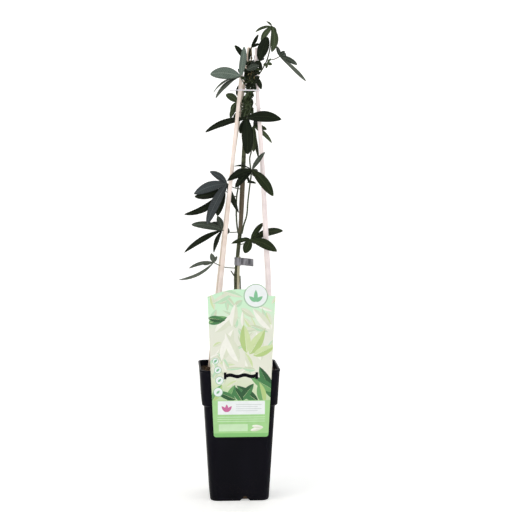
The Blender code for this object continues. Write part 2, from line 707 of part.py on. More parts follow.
def card_outline():
    """The card's edge: rounded foot, slight taper, arched top and the disc that rises over it."""
    def top(x):
        height = CARD_SHOULDER
        if abs(x - CARD_ARCH_CENTRE) < CARD_ARCH_HALF:
            height += CARD_ARCH * math.cos(math.pi * (x - CARD_ARCH_CENTRE) / (2 * CARD_ARCH_HALF))
        from_disc = DISC_RADIUS ** 2 - (x - DISC_CENTRE[0]) ** 2
        if from_disc > 0:
            height = max(height, DISC_CENTRE[1] + math.sqrt(from_disc))
        return height

    points = []
    for side in (1, -1):
        inner = CARD_FOOT_HALF - CARD_CORNER
        edge = [(inner + CARD_CORNER * math.sin(turn), CARD_CORNER - CARD_CORNER * math.cos(turn))
                for turn in (0, math.pi / 4, math.pi / 2)]
        edge.append((CARD_WAIST_HALF, CARD_WAIST))
        if side > 0:
            points += edge
            for step in range(CARD_TOP_STEPS + 1):
                x = CARD_TOP_HALF * (1 - 2 * step / CARD_TOP_STEPS)
                points.append((x, top(x)))
        else:
            points += [(-x, y) for x, y in reversed(edge)]
    return points


def slot_outline():
    """A wavy slit with a short cross cut at each end."""
    def wave(x):
        return SLOT_WAVE * math.sin(2 * math.pi * x / SLOT_HALF_LENGTH)

    across = [SLOT_HALF_LENGTH * (2 * step / SLOT_STEPS - 1) for step in range(SLOT_STEPS + 1)]
    end = SLOT_HALF_LENGTH + SLOT_END_WIDTH
    points = [(x, wave(x) + SLOT_HALF_GAP) for x in across]
    points += [(SLOT_HALF_LENGTH, SLOT_END_HALF), (end, SLOT_END_HALF), (end, -SLOT_END_HALF),
               (SLOT_HALF_LENGTH, -SLOT_END_HALF)]
    points += [(x, wave(x) - SLOT_HALF_GAP) for x in reversed(across)]
    points += [(-SLOT_HALF_LENGTH, -SLOT_END_HALF), (-end, -SLOT_END_HALF), (-end, SLOT_END_HALF),
               (-SLOT_HALF_LENGTH, SLOT_END_HALF)]
    return [(x + SLOT_CENTRE[0], y + SLOT_CENTRE[1]) for x, y in points]


def card_matrix():
    """Stands the card against the lip and the collar's foot, its printed face to the front."""
    lip = Vector((0, -RIM_WIDTH / 2, RIM_HEIGHT - LIP_HEIGHT + LIP_REACH))
    foot = Vector((0, -COLLAR_FOOT_WIDTH / 2, COLLAR_FOOT_HEIGHT))
    upward = (lip - foot).normalized()
    outward = Vector((1, 0, 0)).cross(upward)
    start = foot - upward * (foot.z - CARD_FOOT_HEIGHT) / upward.z
    start += outward * (GAP + CARD_THICKNESS / 2) + Vector((CARD_SIDE_SHIFT, 0, 0))
    turned = Matrix((Vector((1, 0, 0)), upward, outward)).transposed().to_4x4()
    turned.translation = start
    return turned


def build_card(parts):
    """The label card, standing in its place."""
    card = plate("label_card", [card_outline(), slot_outline()], CARD_THICKNESS, parts)
    return place(card, card_matrix())


# ---------------------------------------------------------------- tie and tape

def loop_outline(circles, offset):
    """The path of a band pulled round several round pieces."""
    points = []
    for (x, y), radius in circles:
        reach = radius + offset
        for step in range(BAND_STEPS):
            turn = 2 * math.pi * step / BAND_STEPS
            points.append(Vector((x + reach * math.cos(turn), y + reach * math.sin(turn))))
    return [tuple(points[i]) for i in convex_hull_2d(points)]


def circles_at(paths, height):
    """The round sections of several paths at a height."""
    found = []
    for path in paths:
        centre, radius, _ = at_height(path, height)
        found.append((tuple(centre.xy), radius))
    return found


def band(name, circles, middle, strap, flag, parts):
    """A strap round several circles, and its loose end along X.

    strap is (width, thickness, clearance) and flag is the loose end's (start x, start y, end x).
    """
    width, thickness, clearance = strap
    rings = [loop_outline(circles, clearance + thickness), loop_outline(circles, clearance)]
    made = place(plate(name, rings, width, parts), Matrix.Translation((0, 0, middle)))
    start, near, end = flag
    left, right = sorted((start, end))
    far = near + thickness
    loose_end = new_collection(name + "_end")
    tail = plate(name + "_tail", [[(left, near), (right, near), (right, far), (left, far)]],
                 width - FLAG_INSET, loose_end)
    place(tail, Matrix.Translation((0, 0, middle)))
    return combine(made, loose_end, "UNION")


# ---------------------------------------------------------------- the whole plant

def build_canes_and_stems(parts, paths):
    """The canes, the splint and the stems; the main stem has a cut stub fused to it."""
    for name in CANES:
        finish(tube(name, paths[name], parts, resolution=3), BAMBOO_CREAM, 0.5)
    finish(tube("splint", paths["splint"], parts), SPLINT_TAN, 0.7)
    stub = new_collection("stub")
    tube("stub", smooth_path(STUB), stub, resolution=1)
    main_stem = tube("main_stem", paths["main_stem"], parts)
    finish(combine(main_stem, stub, "UNION"), STEM_OLIVE, 0.6)
    for name in ("side_stem_right", "side_stem_left", "foot_shoot"):
        finish(tube(name, paths[name], parts, resolution=1), STEM_OLIVE, 0.6)


def build_bands(parts, paths, tie_circles):
    """The strap round the three canes, and the tape that holds the stem to its splint."""
    (left_x, left_y), _ = tie_circles[0]
    start = left_x - TIE_TAIL_START
    tie = band("cane_tie", tie_circles, TIE_HEIGHT, (TIE_WIDTH, TIE_THICKNESS, TIE_CLEARANCE),
               (start, left_y, start - TIE_TAIL), parts)
    finish(tie, STRAP_WHITE, 0.5)
    middle = TAPE_BOTTOM + TAPE_WIDTH / 2
    held = circles_at([paths["main_stem"], paths["splint"]], middle)
    (stem_x, stem_y), _ = held[0]
    start = stem_x + TAPE_FLAG_START[0]
    tape = band("stem_tape", held, middle, (TAPE_WIDTH, TAPE_THICKNESS, TAPE_CLEARANCE),
                (start, stem_y + TAPE_FLAG_START[1], start + TAPE_FLAG), parts)
    finish(tape, TAPE_GREY, 0.35)


def build_foliage(parts, paths, tie_circles):
    """Every leaf, then the two tangles in the space that is left."""
    for name, (stem, height, joint, blades) in LEAVES.items():
        made = leaf(name, paths[stem], height, joint, blades, parts)
        finish(made, LEAF_COLOURS.get(name, LEAF_GREEN), 0.45)

    limbs = [path for name, path in paths.items() if name not in ("splint", "foot_shoot")]
    for stem, height, joint, _ in LEAVES.values():
        limbs.append(stalk_path(paths[stem], height, Vector(joint)))
    ring = loop_outline(tie_circles, TIE_CLEARANCE)
    limbs.append([(Vector((x, y, TIE_HEIGHT)), TIE_WIDTH / 2) for x, y in ring + ring[:1]])
    taken = all_blade_probes()
    for name, plan in TANGLES.items():
        made = tangle(name, plan, limbs, taken, paths["main_stem"], parts)
        finish(made, LEAF_GREEN, 0.5)


def main():
    clear_scene()
    parts = new_collection("potted_passion_flower")

    paths = {name: smooth_path(points) for name, points in CANES.items()}
    paths["main_stem"] = smooth_path(MAIN_STEM)
    paths["splint"] = smooth_path(SPLINT)
    paths["foot_shoot"] = smooth_path(FOOT_SHOOT)
    paths["side_stem_right"] = side_stem(paths["main_stem"], SIDE_STEM_RIGHT)
    paths["side_stem_left"] = side_stem(paths["main_stem"], SIDE_STEM_LEFT)
    rooted = {name: paths[name] for name in (*CANES, "splint", "foot_shoot")}
    rooted["main_stem"] = paths["main_stem"][:SOCKET_POINTS]
    tie_circles = circles_at([paths[name] for name in CANES], TIE_HEIGHT)

    finish(build_pot(parts), BLACK_PLASTIC, 0.4)
    finish(build_soil(parts, rooted), COMPOST_BROWN, 0.95)
    finish(build_card(parts), CARD_GREEN, 0.4)
    build_canes_and_stems(parts, paths)
    build_bands(parts, paths, tie_circles)
    build_foliage(parts, paths, tie_circles)


main()
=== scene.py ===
# %% [markdown]
# # A potted passion flower, dressed over its solids
#
# The plant is a young climber: palmate leaves on thin stalks, a woody stem tied to three split canes,
# a tall square nursery pot and a printed card. The solids of the plant are loaded first. They are the
# fixed frame: each piece made below stands in the place of one or more of them, inside their box.

# %% Load the frame
import math
import random

import bmesh
import bpy
from mathutils import Matrix, Vector, noise
from mathutils.geometry import convex_hull_2d, delaunay_2d_cdt


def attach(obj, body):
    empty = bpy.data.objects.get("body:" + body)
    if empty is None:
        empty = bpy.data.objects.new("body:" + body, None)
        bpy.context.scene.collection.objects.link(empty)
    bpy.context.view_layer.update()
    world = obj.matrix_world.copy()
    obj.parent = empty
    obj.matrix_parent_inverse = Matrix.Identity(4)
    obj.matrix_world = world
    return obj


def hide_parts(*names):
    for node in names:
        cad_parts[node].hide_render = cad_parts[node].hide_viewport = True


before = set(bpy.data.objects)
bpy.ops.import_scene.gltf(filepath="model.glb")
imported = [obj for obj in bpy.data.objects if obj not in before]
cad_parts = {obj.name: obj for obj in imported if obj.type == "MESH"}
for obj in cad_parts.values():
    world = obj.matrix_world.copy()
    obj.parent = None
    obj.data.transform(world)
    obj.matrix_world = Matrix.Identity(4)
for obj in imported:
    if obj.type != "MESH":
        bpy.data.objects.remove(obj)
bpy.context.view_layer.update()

# %% [markdown]
# ## Units, directions and colours
#
# Sizes are written in millimetres, the unit of a gardener's ruler, and are turned to metres where
# Blender needs them. Colours are sRGB hex values, as a paint program shows them, and one function
# turns them to the linear numbers that shaders use.

# %% Units and colours
MM = 0.001
UP = Vector((0, 0, 1))
FRONT = Vector((0, -1, 0))


def linear(code):
    """The linear colour, with alpha 1, of an sRGB hex value."""
    channels = [int(code[i:i + 2], 16) / 255 for i in (0, 2, 4)]
    return (*(c / 12.92 if c <= 0.04045 else ((c + 0.055) / 1.055) ** 2.4 for c in channels), 1)


print("leaf green in linear light:", [round(c, 4) for c in linear("2b3a22")])

# %% [markdown]
# ## Adding nodes
#
# Materials and Geometry Nodes are both node trees. One small function adds a node, sets its
# properties, fills or links its inputs and hands back an output, so that a tree reads from top to
# bottom like a recipe. A sum is a row of such nodes, where each works on what the last one gave.

# %% A function that adds a node
def add(tree, kind, inputs=None, out=0, to=None, stops=(), **settings):
    """Adds a node and hands back one of its outputs.

    inputs maps an input's name or number to a value, a socket or a list of sockets, to is the input
    that the output feeds, and stops are the places and sRGB colours of a colour ramp.
    """
    node = tree.nodes.new(kind)
    for name, value in settings.items():
        setattr(node, name, value)
    if stops:
        marks = node.color_ramp.elements
        marks.remove(marks[1])
        marks[0].position = stops[0][0]
        for number, (position, code) in enumerate(stops):
            mark = marks.new(position) if number else marks[0]
            mark.color = linear(code)
    sockets = [socket for socket in node.inputs if socket.enabled]
    for key, value in (inputs or {}).items():
        socket = sockets[key] if isinstance(key, int) else next(s for s in sockets if s.name == key)
        for item in value if isinstance(value, list) else [value]:
            if isinstance(item, bpy.types.NodeSocket):
                tree.links.new(item, socket)
            else:
                socket.default_value = item
    output = [socket for socket in node.outputs if socket.enabled][out]
    if to is not None:
        tree.links.new(output, to)
    return output


def chain(tree, kind, value, *steps):
    """Runs a value through a row of nodes: each step is an operation and its other inputs."""
    for operation, *others in steps:
        value = add(tree, kind, dict(enumerate([value] + others)), operation=operation)
    return value


NUMBERS = "ShaderNodeMath"  # the kinds of node that a chain is made of
VECTORS = "ShaderNodeVectorMath"


# %% Functions that start a material
def start_material(name, **values):
    """A material with a Principled shader: values are set on the shader's own sockets."""
    made = bpy.data.materials.new(name)
    made.use_nodes = True
    shader = made.node_tree.nodes["Principled BSDF"]
    for socket, value in values.items():
        shader.inputs[socket.replace("_", " ")].default_value = value
    return made, made.node_tree, shader.inputs


def per_metre(size):
    """The scale of a pattern whose features are a size in millimetres apart."""
    return 1 / (size * MM)


def streaked_material(name, stops, width, detail, length=None, on_stem=False, **values):
    """A material whose colour follows one noise: spots as wide as width, or streaks of a length."""
    made, tree, shader = start_material(name, **values)
    if on_stem:
        place = add(tree, "ShaderNodeAttribute", out=1, attribute_name="straight")
    else:
        place = add(tree, "ShaderNodeTexCoord", out=3)
    if length:
        place = chain(tree, VECTORS, place, ("MULTIPLY", (1.0, 1.0, width / length)))
    streaks = add(tree, "ShaderNodeTexNoise", {"Vector": place, "Scale": per_metre(width), "Detail": detail})
    colour = add(tree, "ShaderNodeValToRGB", {"Fac": streaks}, to=shader["Base Color"], stops=stops)
    return made, tree, shader, streaks, colour


# %% [markdown]
# ## Camera
#
# A long lens from about two metres, a little above the middle of the plant, keeps the pot's sides
# and the canes nearly parallel.

# %% Camera
CAMERA_PLACE = Vector((-97.7, -1997.6, 492.7))
CAMERA_PITCH = 3.4  # degrees below level
CAMERA_YAW = 3.591  # degrees to the right of +Y
LENS = 90.77
SENSOR_WIDTH = 36


def link(made):
    """Puts an object into the scene."""
    bpy.context.scene.collection.objects.link(made)
    return made


camera_data = bpy.data.cameras.new("camera")
camera_data.lens = LENS
camera_data.sensor_width = SENSOR_WIDTH
camera = link(bpy.data.objects.new("camera", camera_data))
camera.location = CAMERA_PLACE * MM
camera.rotation_euler = (math.radians(90 - CAMERA_PITCH), 0, -math.radians(CAMERA_YAW))
bpy.context.scene.camera = camera
print("camera", round(camera.location.length, 2), "m away")

# %% [markdown]
# ## Floor and light
#
# The floor is one pale sheet that curves up all round, far behind the camera's path, so that no edge
# or corner shows from any side. Broad lamps high on the left and right give soft, nearly shadowless
# light, and a pale world fills what they miss.

# %% Floor
# metres, because the floor is far larger than the plant
FLOOR_RADIUS = 2.7
FLOOR_CURVE = 1.0
FLOOR_WALL = 3.2
FLOOR_SIDES = 96
CURVE_STEPS = 12
MERGE_DISTANCE = 1e-5


def keep_cage(cage, name):
    """Turns a bmesh cage into an object in the scene, with its faces outwards."""
    bmesh.ops.recalc_face_normals(cage, faces=cage.faces)
    mesh = bpy.data.meshes.new(name)
    cage.to_mesh(mesh)
    cage.free()
    return link(bpy.data.objects.new(name, mesh))


def make_floor():
    """A level sheet that curves up into a wall: its profile is spun round the z axis."""
    profile = [(0.0, 0.0), (FLOOR_RADIUS, 0.0)]
    for step in range(1, CURVE_STEPS + 1):
        turn = math.pi / 2 * step / CURVE_STEPS
        profile.append((FLOOR_RADIUS + FLOOR_CURVE * math.sin(turn), FLOOR_CURVE * (1 - math.cos(turn))))
    profile.append((FLOOR_RADIUS + FLOOR_CURVE, FLOOR_WALL))
    cage = bmesh.new()
    line = [cage.verts.new((x, 0, z)) for x, z in profile]
    edges = [cage.edges.new(pair) for pair in zip(line, line[1:])]
    bmesh.ops.spin(cage, geom=line + edges, angle=2 * math.pi, steps=FLOOR_SIDES, axis=UP, cent=(0, 0, 0))
    bmesh.ops.remove_doubles(cage, verts=cage.verts, dist=MERGE_DISTANCE)
    made = keep_cage(cage, "floor")
    made.data.shade_smooth()
    return made


# Matt paper scatters all light. A little glow keeps it white where the soft lamps fade.
paper = start_material(
    "matt_white_studio_paper", Base_Color=linear("f4f4f2"), Roughness=0.9, Specular_IOR_Level=0.1,
    Emission_Color=linear("fbfbfb"), Emission_Strength=0.4)[0]
floor = make_floor()
floor.data.materials.append(paper)
print("floor", len(floor.data.polygons), "faces")

# %% Light
WORLD_STRENGTH = 0.27
# name: place, width and height in metres, watts, colour
LAMPS = {
    "key_left": ((-1.5, -1.3, 1.9), (1.3, 1.3), 13.5, "fff8f0"),
    "fill_right": ((1.7, -1.1, 1.2), (1.2, 1.4), 3.8, "f4f7ff"),
    "top_back": ((0.2, 1.3, 2.2), (1.6, 1.0), 8.5, "ffffff"),
}
LIGHT_TARGET = Vector((0, 0, 0.35))

bpy.context.scene.view_settings.view_transform = "Standard"
world = bpy.data.worlds.new("soft_white_room")
world.use_nodes = True
sky = world.node_tree.nodes["Background"].inputs
sky["Color"].default_value = linear("f2f5fa")
sky["Strength"].default_value = WORLD_STRENGTH
bpy.context.scene.world = world
for name, (place, (width, height), watts, tint) in LAMPS.items():
    lamp_data = bpy.data.lights.new(name, "AREA")
    lamp_data.shape = "RECTANGLE"
    lamp_data.size = width
    lamp_data.size_y = height
    lamp_data.energy = watts
    lamp_data.color = linear(tint)[:3]
    lamp = link(bpy.data.objects.new(name, lamp_data))
    lamp.location = place
    lamp.rotation_euler = (LIGHT_TARGET - Vector(place)).to_track_quat("-Z", "Y").to_euler()
print("lamps:", ", ".join(LAMPS))

# %% [markdown]
# ## Pot
#
# The pot is injection moulded from recycled black polypropylene: a tapering square body under a
# deeper, wider collar with a small lip. A loft of rounded squares suits it, as the mould was made the
# same way. The corners of its profile are softened with short curves, because the light catches
# moulded edges in thin lines. The air channels and drain holes are cut afterwards with Booleans, and
# ribs over the channels keep the compost in.

# %% Pot sizes
RIM_HEIGHT = 204
RIM_WIDTH = 123
LIP_HEIGHT = 3.4
LIP_REACH = 0.7
COLLAR_TOP_WIDTH = RIM_WIDTH - 2 * LIP_REACH
COLLAR_FOOT_WIDTH = 115.6
COLLAR_FOOT_HEIGHT = 150
STEP_HEIGHT = 3.0
BODY_TOP_WIDTH = 108
FOOT_WIDTH = 90.7
FOOT_BEVEL = 3.2
WALL = 1.8
CORNER_RADIUS = 12
CORNER_STEPS = 12
CHANNEL_OFFSET = 8
CHANNEL_FOOT_HALF = 8
CHANNEL_TOP_RADIUS = 3.6
CHANNEL_HEIGHT = 8
CHANNEL_END = 13
CHANNEL_ARC_STEPS = 14
DRAIN_RADIUS = 4.5
DRAIN_OFFSET = 27
DRAIN_SIDES = 32
OVERRUN = 5  # how far a cutter runs past what it cuts
SHARP_ANGLE = 32  # degrees, over which an edge isn't smoothed


# %% Functions for lofted squares
def rounded_square(width, radius, height):
    """The corners of a rounded square, anticlockwise seen from above."""
    middle = width / 2 - radius
    points = []
    for quarter in range(4):
        for step in range(CORNER_STEPS + 1):
            turn = math.radians(90 * quarter + 90 * step / CORNER_STEPS)
            corner = Vector((middle, middle, 0))
            corner.rotate(Matrix.Rotation(math.radians(90 * quarter), 3, "Z"))
            points.append(corner + Vector((radius * math.cos(turn), radius * math.sin(turn), height)))
    return points


def soften(profile, steps=4):
    """A profile of (height, width, rounding) with each corner replaced by a short curve."""
    soft = [Vector(profile[0][:2])]
    for before, here, after in zip(profile, profile[1:], profile[2:]):
        point, rounding = Vector(here[:2]), here[2]
        start, end = ((Vector(other[:2]) - point) for other in (before, after))
        start, end = (point + run.normalized() * min(rounding, run.length * 0.45) for run in (start, end))
        for step in range(steps + 1):
            t = step / steps
            soft.append(start * (1 - t) ** 2 + point * 2 * t * (1 - t) + end * t ** 2)
    return soft + [Vector(profile[-1][:2])]


def loft(name, rings):
    """A closed object over rings of points, with a face over each end."""
    cage = bmesh.new()
    levels = [[cage.verts.new(point * MM) for point in ring] for ring in rings]
    for low, high in zip(levels, levels[1:]):
        for i in range(len(low)):
            k = (i + 1) % len(low)
            cage.faces.new((low[i], low[k], high[k], high[i]))
    cage.faces.new(list(reversed(levels[0])))
    cage.faces.new(levels[-1])
    return keep_cage(cage, name)


def circle(x, y, radius, sides=40):
    """The corners of a circle, anticlockwise."""
    turns = [2 * math.pi * step / sides for step in range(sides)]
    return [(x + radius * math.cos(turn), y + radius * math.sin(turn)) for turn in turns]


def apply_modifiers(made):
    """Keeps what an object's modifiers make as its own plain mesh."""
    graph = bpy.context.evaluated_depsgraph_get()
    mesh = bpy.data.meshes.new_from_object(made.evaluated_get(graph), preserve_all_data_layers=True,
                                           depsgraph=graph)
    made.modifiers.clear()
    made.data = mesh
    print(made.name, "has", len(mesh.polygons), "faces")


def join_or_cut(made, tools, operation):
    """Adds the tools to an object or cuts them away, then removes them."""
    for tool in tools:
        modifier = made.modifiers.new("tool", "BOOLEAN")
        modifier.operation = operation
        modifier.solver = "EXACT"
        modifier.object = tool
    apply_modifiers(made)
    for tool in tools:
        bpy.data.objects.remove(tool)


# %% Pot profiles
BODY_TOP = COLLAR_FOOT_HEIGHT - STEP_HEIGHT


def body_width(height):
    return FOOT_WIDTH + (BODY_TOP_WIDTH - FOOT_WIDTH) * height / BODY_TOP


LIP_FOOT = RIM_HEIGHT - LIP_HEIGHT
COLLAR_SLOPE = (COLLAR_TOP_WIDTH - COLLAR_FOOT_WIDTH) / (RIM_HEIGHT - COLLAR_FOOT_HEIGHT)
COLLAR_INSIDE = COLLAR_FOOT_WIDTH - 2 * WALL
INNER_TOP_WIDTH = COLLAR_INSIDE + COLLAR_SLOPE * (RIM_HEIGHT - BODY_TOP - WALL - STEP_HEIGHT)
# height, width, rounding of the corner
OUTSIDE_PROFILE = [
    (0, FOOT_WIDTH - 2 * FOOT_BEVEL, 0), (0, FOOT_WIDTH - 2, 3.0), (FOOT_BEVEL, body_width(FOOT_BEVEL), 3.0),
    (BODY_TOP, BODY_TOP_WIDTH, 1.4), (COLLAR_FOOT_HEIGHT, COLLAR_FOOT_WIDTH, 1.2),
    (LIP_FOOT, COLLAR_TOP_WIDTH, 0.3), (LIP_FOOT + LIP_REACH, RIM_WIDTH, 0.4), (RIM_HEIGHT, RIM_WIDTH, 0.9),
    (RIM_HEIGHT, INNER_TOP_WIDTH, 0.9)]
INSIDE_PROFILE = [
    (BODY_TOP + WALL + STEP_HEIGHT, COLLAR_INSIDE, 1.2), (BODY_TOP + WALL, BODY_TOP_WIDTH - 2 * WALL, 1.2),
    (WALL + FOOT_BEVEL, body_width(FOOT_BEVEL) - 2 * WALL, 2.5), (WALL, FOOT_WIDTH - 2 * FOOT_BEVEL - 1, 0)]
# The wall is as thick in the corners as elsewhere, so they are tighter inside.
first_inside = len(soften(OUTSIDE_PROFILE)) + 1
pot_rings = []
for number, (height, width) in enumerate(soften(OUTSIDE_PROFILE + INSIDE_PROFILE)):
    radius = CORNER_RADIUS - WALL if number >= first_inside else CORNER_RADIUS
    pot_rings.append(rounded_square(width, radius, height))
pot = loft("square_nursery_pot", pot_rings)
print("pot rings:", len(pot_rings))


# %% Air channels, ribs and drain holes
def channel_bars(grow, outer_end, inner_end):
    """A round-topped bar from each side: the air channel itself, or the rib over it where it grows."""
    radius = CHANNEL_TOP_RADIUS + grow
    foot = CHANNEL_FOOT_HALF + grow
    middle = CHANNEL_HEIGHT - CHANNEL_TOP_RADIUS
    section = [(-foot, WALL / 2)] if grow else [(-foot, -OVERRUN), (-foot, 0)]
    for step in range(CHANNEL_ARC_STEPS + 1):
        turn = math.pi * (1 - step / CHANNEL_ARC_STEPS)
        section.append((radius * math.cos(turn), middle + radius * math.sin(turn)))
    section += [(foot, WALL / 2)] if grow else [(foot, 0), (foot, -OVERRUN)]
    bars = []
    for quarter in range(4):
        bar = loft("channel_bar", [[Vector((CHANNEL_OFFSET + x, -y, z)) for x, z in section]
                                   for y in (inner_end, outer_end)])
        bar.data.transform(Matrix.Rotation(math.radians(90 * quarter), 4, "Z"))
        bars.append(bar)
    return bars


join_or_cut(pot, channel_bars(WALL, FOOT_WIDTH / 2 - WALL / 2, CHANNEL_END - WALL), "UNION")
drains = [loft("drain", [[Vector((*spot, z)) for spot in circle(x, y, DRAIN_RADIUS, DRAIN_SIDES)]
                         for z in (-OVERRUN, OVERRUN)])
          for x in (-DRAIN_OFFSET, DRAIN_OFFSET) for y in (-DRAIN_OFFSET, DRAIN_OFFSET)]
channels = channel_bars(0, FOOT_WIDTH / 2 + OVERRUN, CHANNEL_END)
join_or_cut(pot, channels + drains, "DIFFERENCE")
pot.data.shade_smooth()
pot.data.set_sharp_from_angle(angle=math.radians(SHARP_ANGLE))

# %% Recycled black polypropylene
# The melt leaves slow flow marks, the mould a fine spark finish, and watering a little dust low down.
FLOW_WIDTH = 33.3  # mm
FLOW_LENGTH = 143
SPECK_SIZE = 2.38
GRAIN_SIZE = 0.5  # drawn coarser than the real finish, so that it shows
SPLASH_FOOT = 2  # mm, full dust below this height
SPLASH_TOP = 60  # mm, none above it
DUST_SHARE = 0.1
black_plastic, tree, shader, flow, tone = streaked_material(
    "moulded_black_polypropylene", [(0.3, "04040a"), (0.75, "0a0912")], FLOW_WIDTH, 3.0,
    length=FLOW_LENGTH, IOR=1.49, Specular_IOR_Level=0.065)
place = add(tree, "ShaderNodeTexCoord", out=3)
height = add(tree, "ShaderNodeSeparateXYZ", {"Vector": place}, out=2)
splash = add(tree, "ShaderNodeMapRange", {"Value": height, "From Min": SPLASH_FOOT * MM,
                                          "From Max": SPLASH_TOP * MM, "To Min": 1.0, "To Max": 0.0})
specks = add(tree, "ShaderNodeTexNoise", {"Vector": place, "Scale": per_metre(SPECK_SIZE), "Detail": 4.0})
specks = add(tree, "ShaderNodeMapRange", {"Value": specks, "From Min": 0.55, "From Max": 0.75})
dust = chain(tree, NUMBERS, specks, ("MULTIPLY", splash), ("MULTIPLY", DUST_SHARE))
add(tree, "ShaderNodeMix", {"Factor": dust, "A": tone, "B": linear("5b5146")},
    to=shader["Base Color"], data_type="RGBA")
add(tree, "ShaderNodeMapRange", {"Value": flow, "To Min": 0.36, "To Max": 0.5}, to=shader["Roughness"])
fine = add(tree, "ShaderNodeTexNoise", {"Vector": place, "Scale": per_metre(GRAIN_SIZE), "Detail": 2.0})
add(tree, "ShaderNodeBump", {"Height": fine, "Strength": 0.12, "Distance": 0.06 * MM}, to=shader["Normal"])
pot.data.materials.append(black_plastic)


def dress(piece, slot, *nodes):
    """Makes a finished piece ride on the plant, in place of its solids."""
    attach(piece, "root")
    if nodes:
        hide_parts(*nodes)
    return piece


dress(pot, "pot", "pot")

# %% [markdown]
# ## Compost
#
# Peat-free compost is a dark mat of crumbs, wood fibre and bits of bark. Its body is a loft like the
# pot's inside, with a lumpy top. A Geometry Nodes tree then strews small crumbs and fibres over that
# top, each a shape of a few faces, because many simple lumps look more like compost than one
# detailed surface.

# %% Compost body
SOIL_HEIGHT = 197
SOIL_GAP = 0.35
SOIL_RINGS = 22
LUMP = 2.6  # mm, the height of the lumps
LUMP_SIZE = 9  # mm, across
LUMP_LIFT = 0.4  # most of the top stands a little over its mean
EDGE_WIDTH = 1
EDGE_SHARE = 0.3  # how much of the lumps is left beside the pot's wall
SOIL_FLAT = SOIL_HEIGHT - LUMP
SOIL_CORNER = CORNER_RADIUS - WALL - SOIL_GAP


def soil_inset(width):
    return width - 2 * WALL - 2 * SOIL_GAP


soil_top_width = soil_inset(COLLAR_FOOT_WIDTH) + COLLAR_SLOPE * (SOIL_HEIGHT - COLLAR_FOOT_HEIGHT - WALL)
SOIL_PROFILE = [
    (WALL + SOIL_GAP, FOOT_WIDTH - 2 * FOOT_BEVEL - 2 - 2 * SOIL_GAP, 0),
    (WALL + FOOT_BEVEL, soil_inset(body_width(FOOT_BEVEL)), 1),
    (BODY_TOP + WALL, soil_inset(BODY_TOP_WIDTH), 1),
    (BODY_TOP + WALL + STEP_HEIGHT, soil_inset(COLLAR_FOOT_WIDTH), 1), (SOIL_FLAT, soil_top_width, 0)]
soil_rings = [rounded_square(width, SOIL_CORNER, height) for height, width in soften(SOIL_PROFILE, 2)]
for ring in range(1, SOIL_RINGS):
    share = 1 - ring / SOIL_RINGS
    soil_rings.append([Vector((point.x * share, point.y * share, SOIL_FLAT))
                       for point in rounded_square(soil_top_width, SOIL_CORNER, 0)])
soil = loft("compost_body", soil_rings)
for vertex in soil.data.vertices:
    if vertex.co.z > (SOIL_FLAT - 0.1) * MM:
        edge = max(abs(vertex.co.x), abs(vertex.co.y)) / MM > soil_top_width / 2 - EDGE_WIDTH
        lumps = noise.fractal(vertex.co / (LUMP_SIZE * MM), 1.0, 2.0, 4) + LUMP_LIFT
        vertex.co.z += max(-1.0, min(1.0, lumps)) * (LUMP * EDGE_SHARE if edge else LUMP) * MM
soil.data.shade_smooth()
print("compost body", len(soil.data.polygons), "faces")

# %% Compost, bark and fibre
# Damp compost swallows light, so it is dull and nearly black between its paler crumbs. Bark and
# fibre are drier and show as light flecks.
CRUMB_SIZE = 1.43  # mm
FIBRE_PATCH = 5.26  # of one shade, on bark and fibre
compost, tree, shader, crumbs, _ = streaked_material(
    "damp_peat_free_compost", [(0.35, "1c1712"), (0.72, "5d4c3a")], CRUMB_SIZE, 6.0,
    Roughness=0.95, Specular_IOR_Level=0.12)
crumbs.node.inputs["Roughness"].default_value = 0.65
add(tree, "ShaderNodeBump", {"Height": crumbs, "Strength": 0.8, "Distance": 0.8 * MM}, to=shader["Normal"])
soil.data.materials.append(compost)
dress(soil, "compost", "soil")
fibre_bark = streaked_material(
    "shredded_bark_and_wood_fibre", [(0.38, "2a2019"), (0.68, "8a6d4d")], FIBRE_PATCH, 2.0,
    Roughness=0.9, Specular_IOR_Level=0.15)[0]
print("made", compost.name, "and", fibre_bark.name)


# %% Functions that start a Geometry Nodes tree and run it
def start_tree(name, inputs):
    """A tree with a geometry in and out and named inputs: its inputs' outputs and its result."""
    tree = bpy.data.node_groups.new(name, "GeometryNodeTree")
    tree.interface.new_socket("Geometry", in_out="INPUT", socket_type="NodeSocketGeometry")
    for label, kind in inputs.items():
        tree.interface.new_socket(label, in_out="INPUT", socket_type="NodeSocket" + kind)
    tree.interface.new_socket("Geometry", in_out="OUTPUT", socket_type="NodeSocketGeometry")
    return tree, tree.nodes.new("NodeGroupInput").outputs, tree.nodes.new("NodeGroupOutput").inputs[0]


def run_tree(tree, name, guide, values):
    """Runs a tree on a guide mesh and keeps what it grew as a plain mesh object."""
    grown = link(bpy.data.objects.new(name, guide))
    modifier = grown.modifiers.new("grow", "NODES")
    modifier.node_group = tree
    for item in tree.interface.items_tree:
        if item.in_out == "INPUT" and item.name in values:
            modifier[item.identifier] = values[item.name]
    apply_modifiers(grown)
    return grown


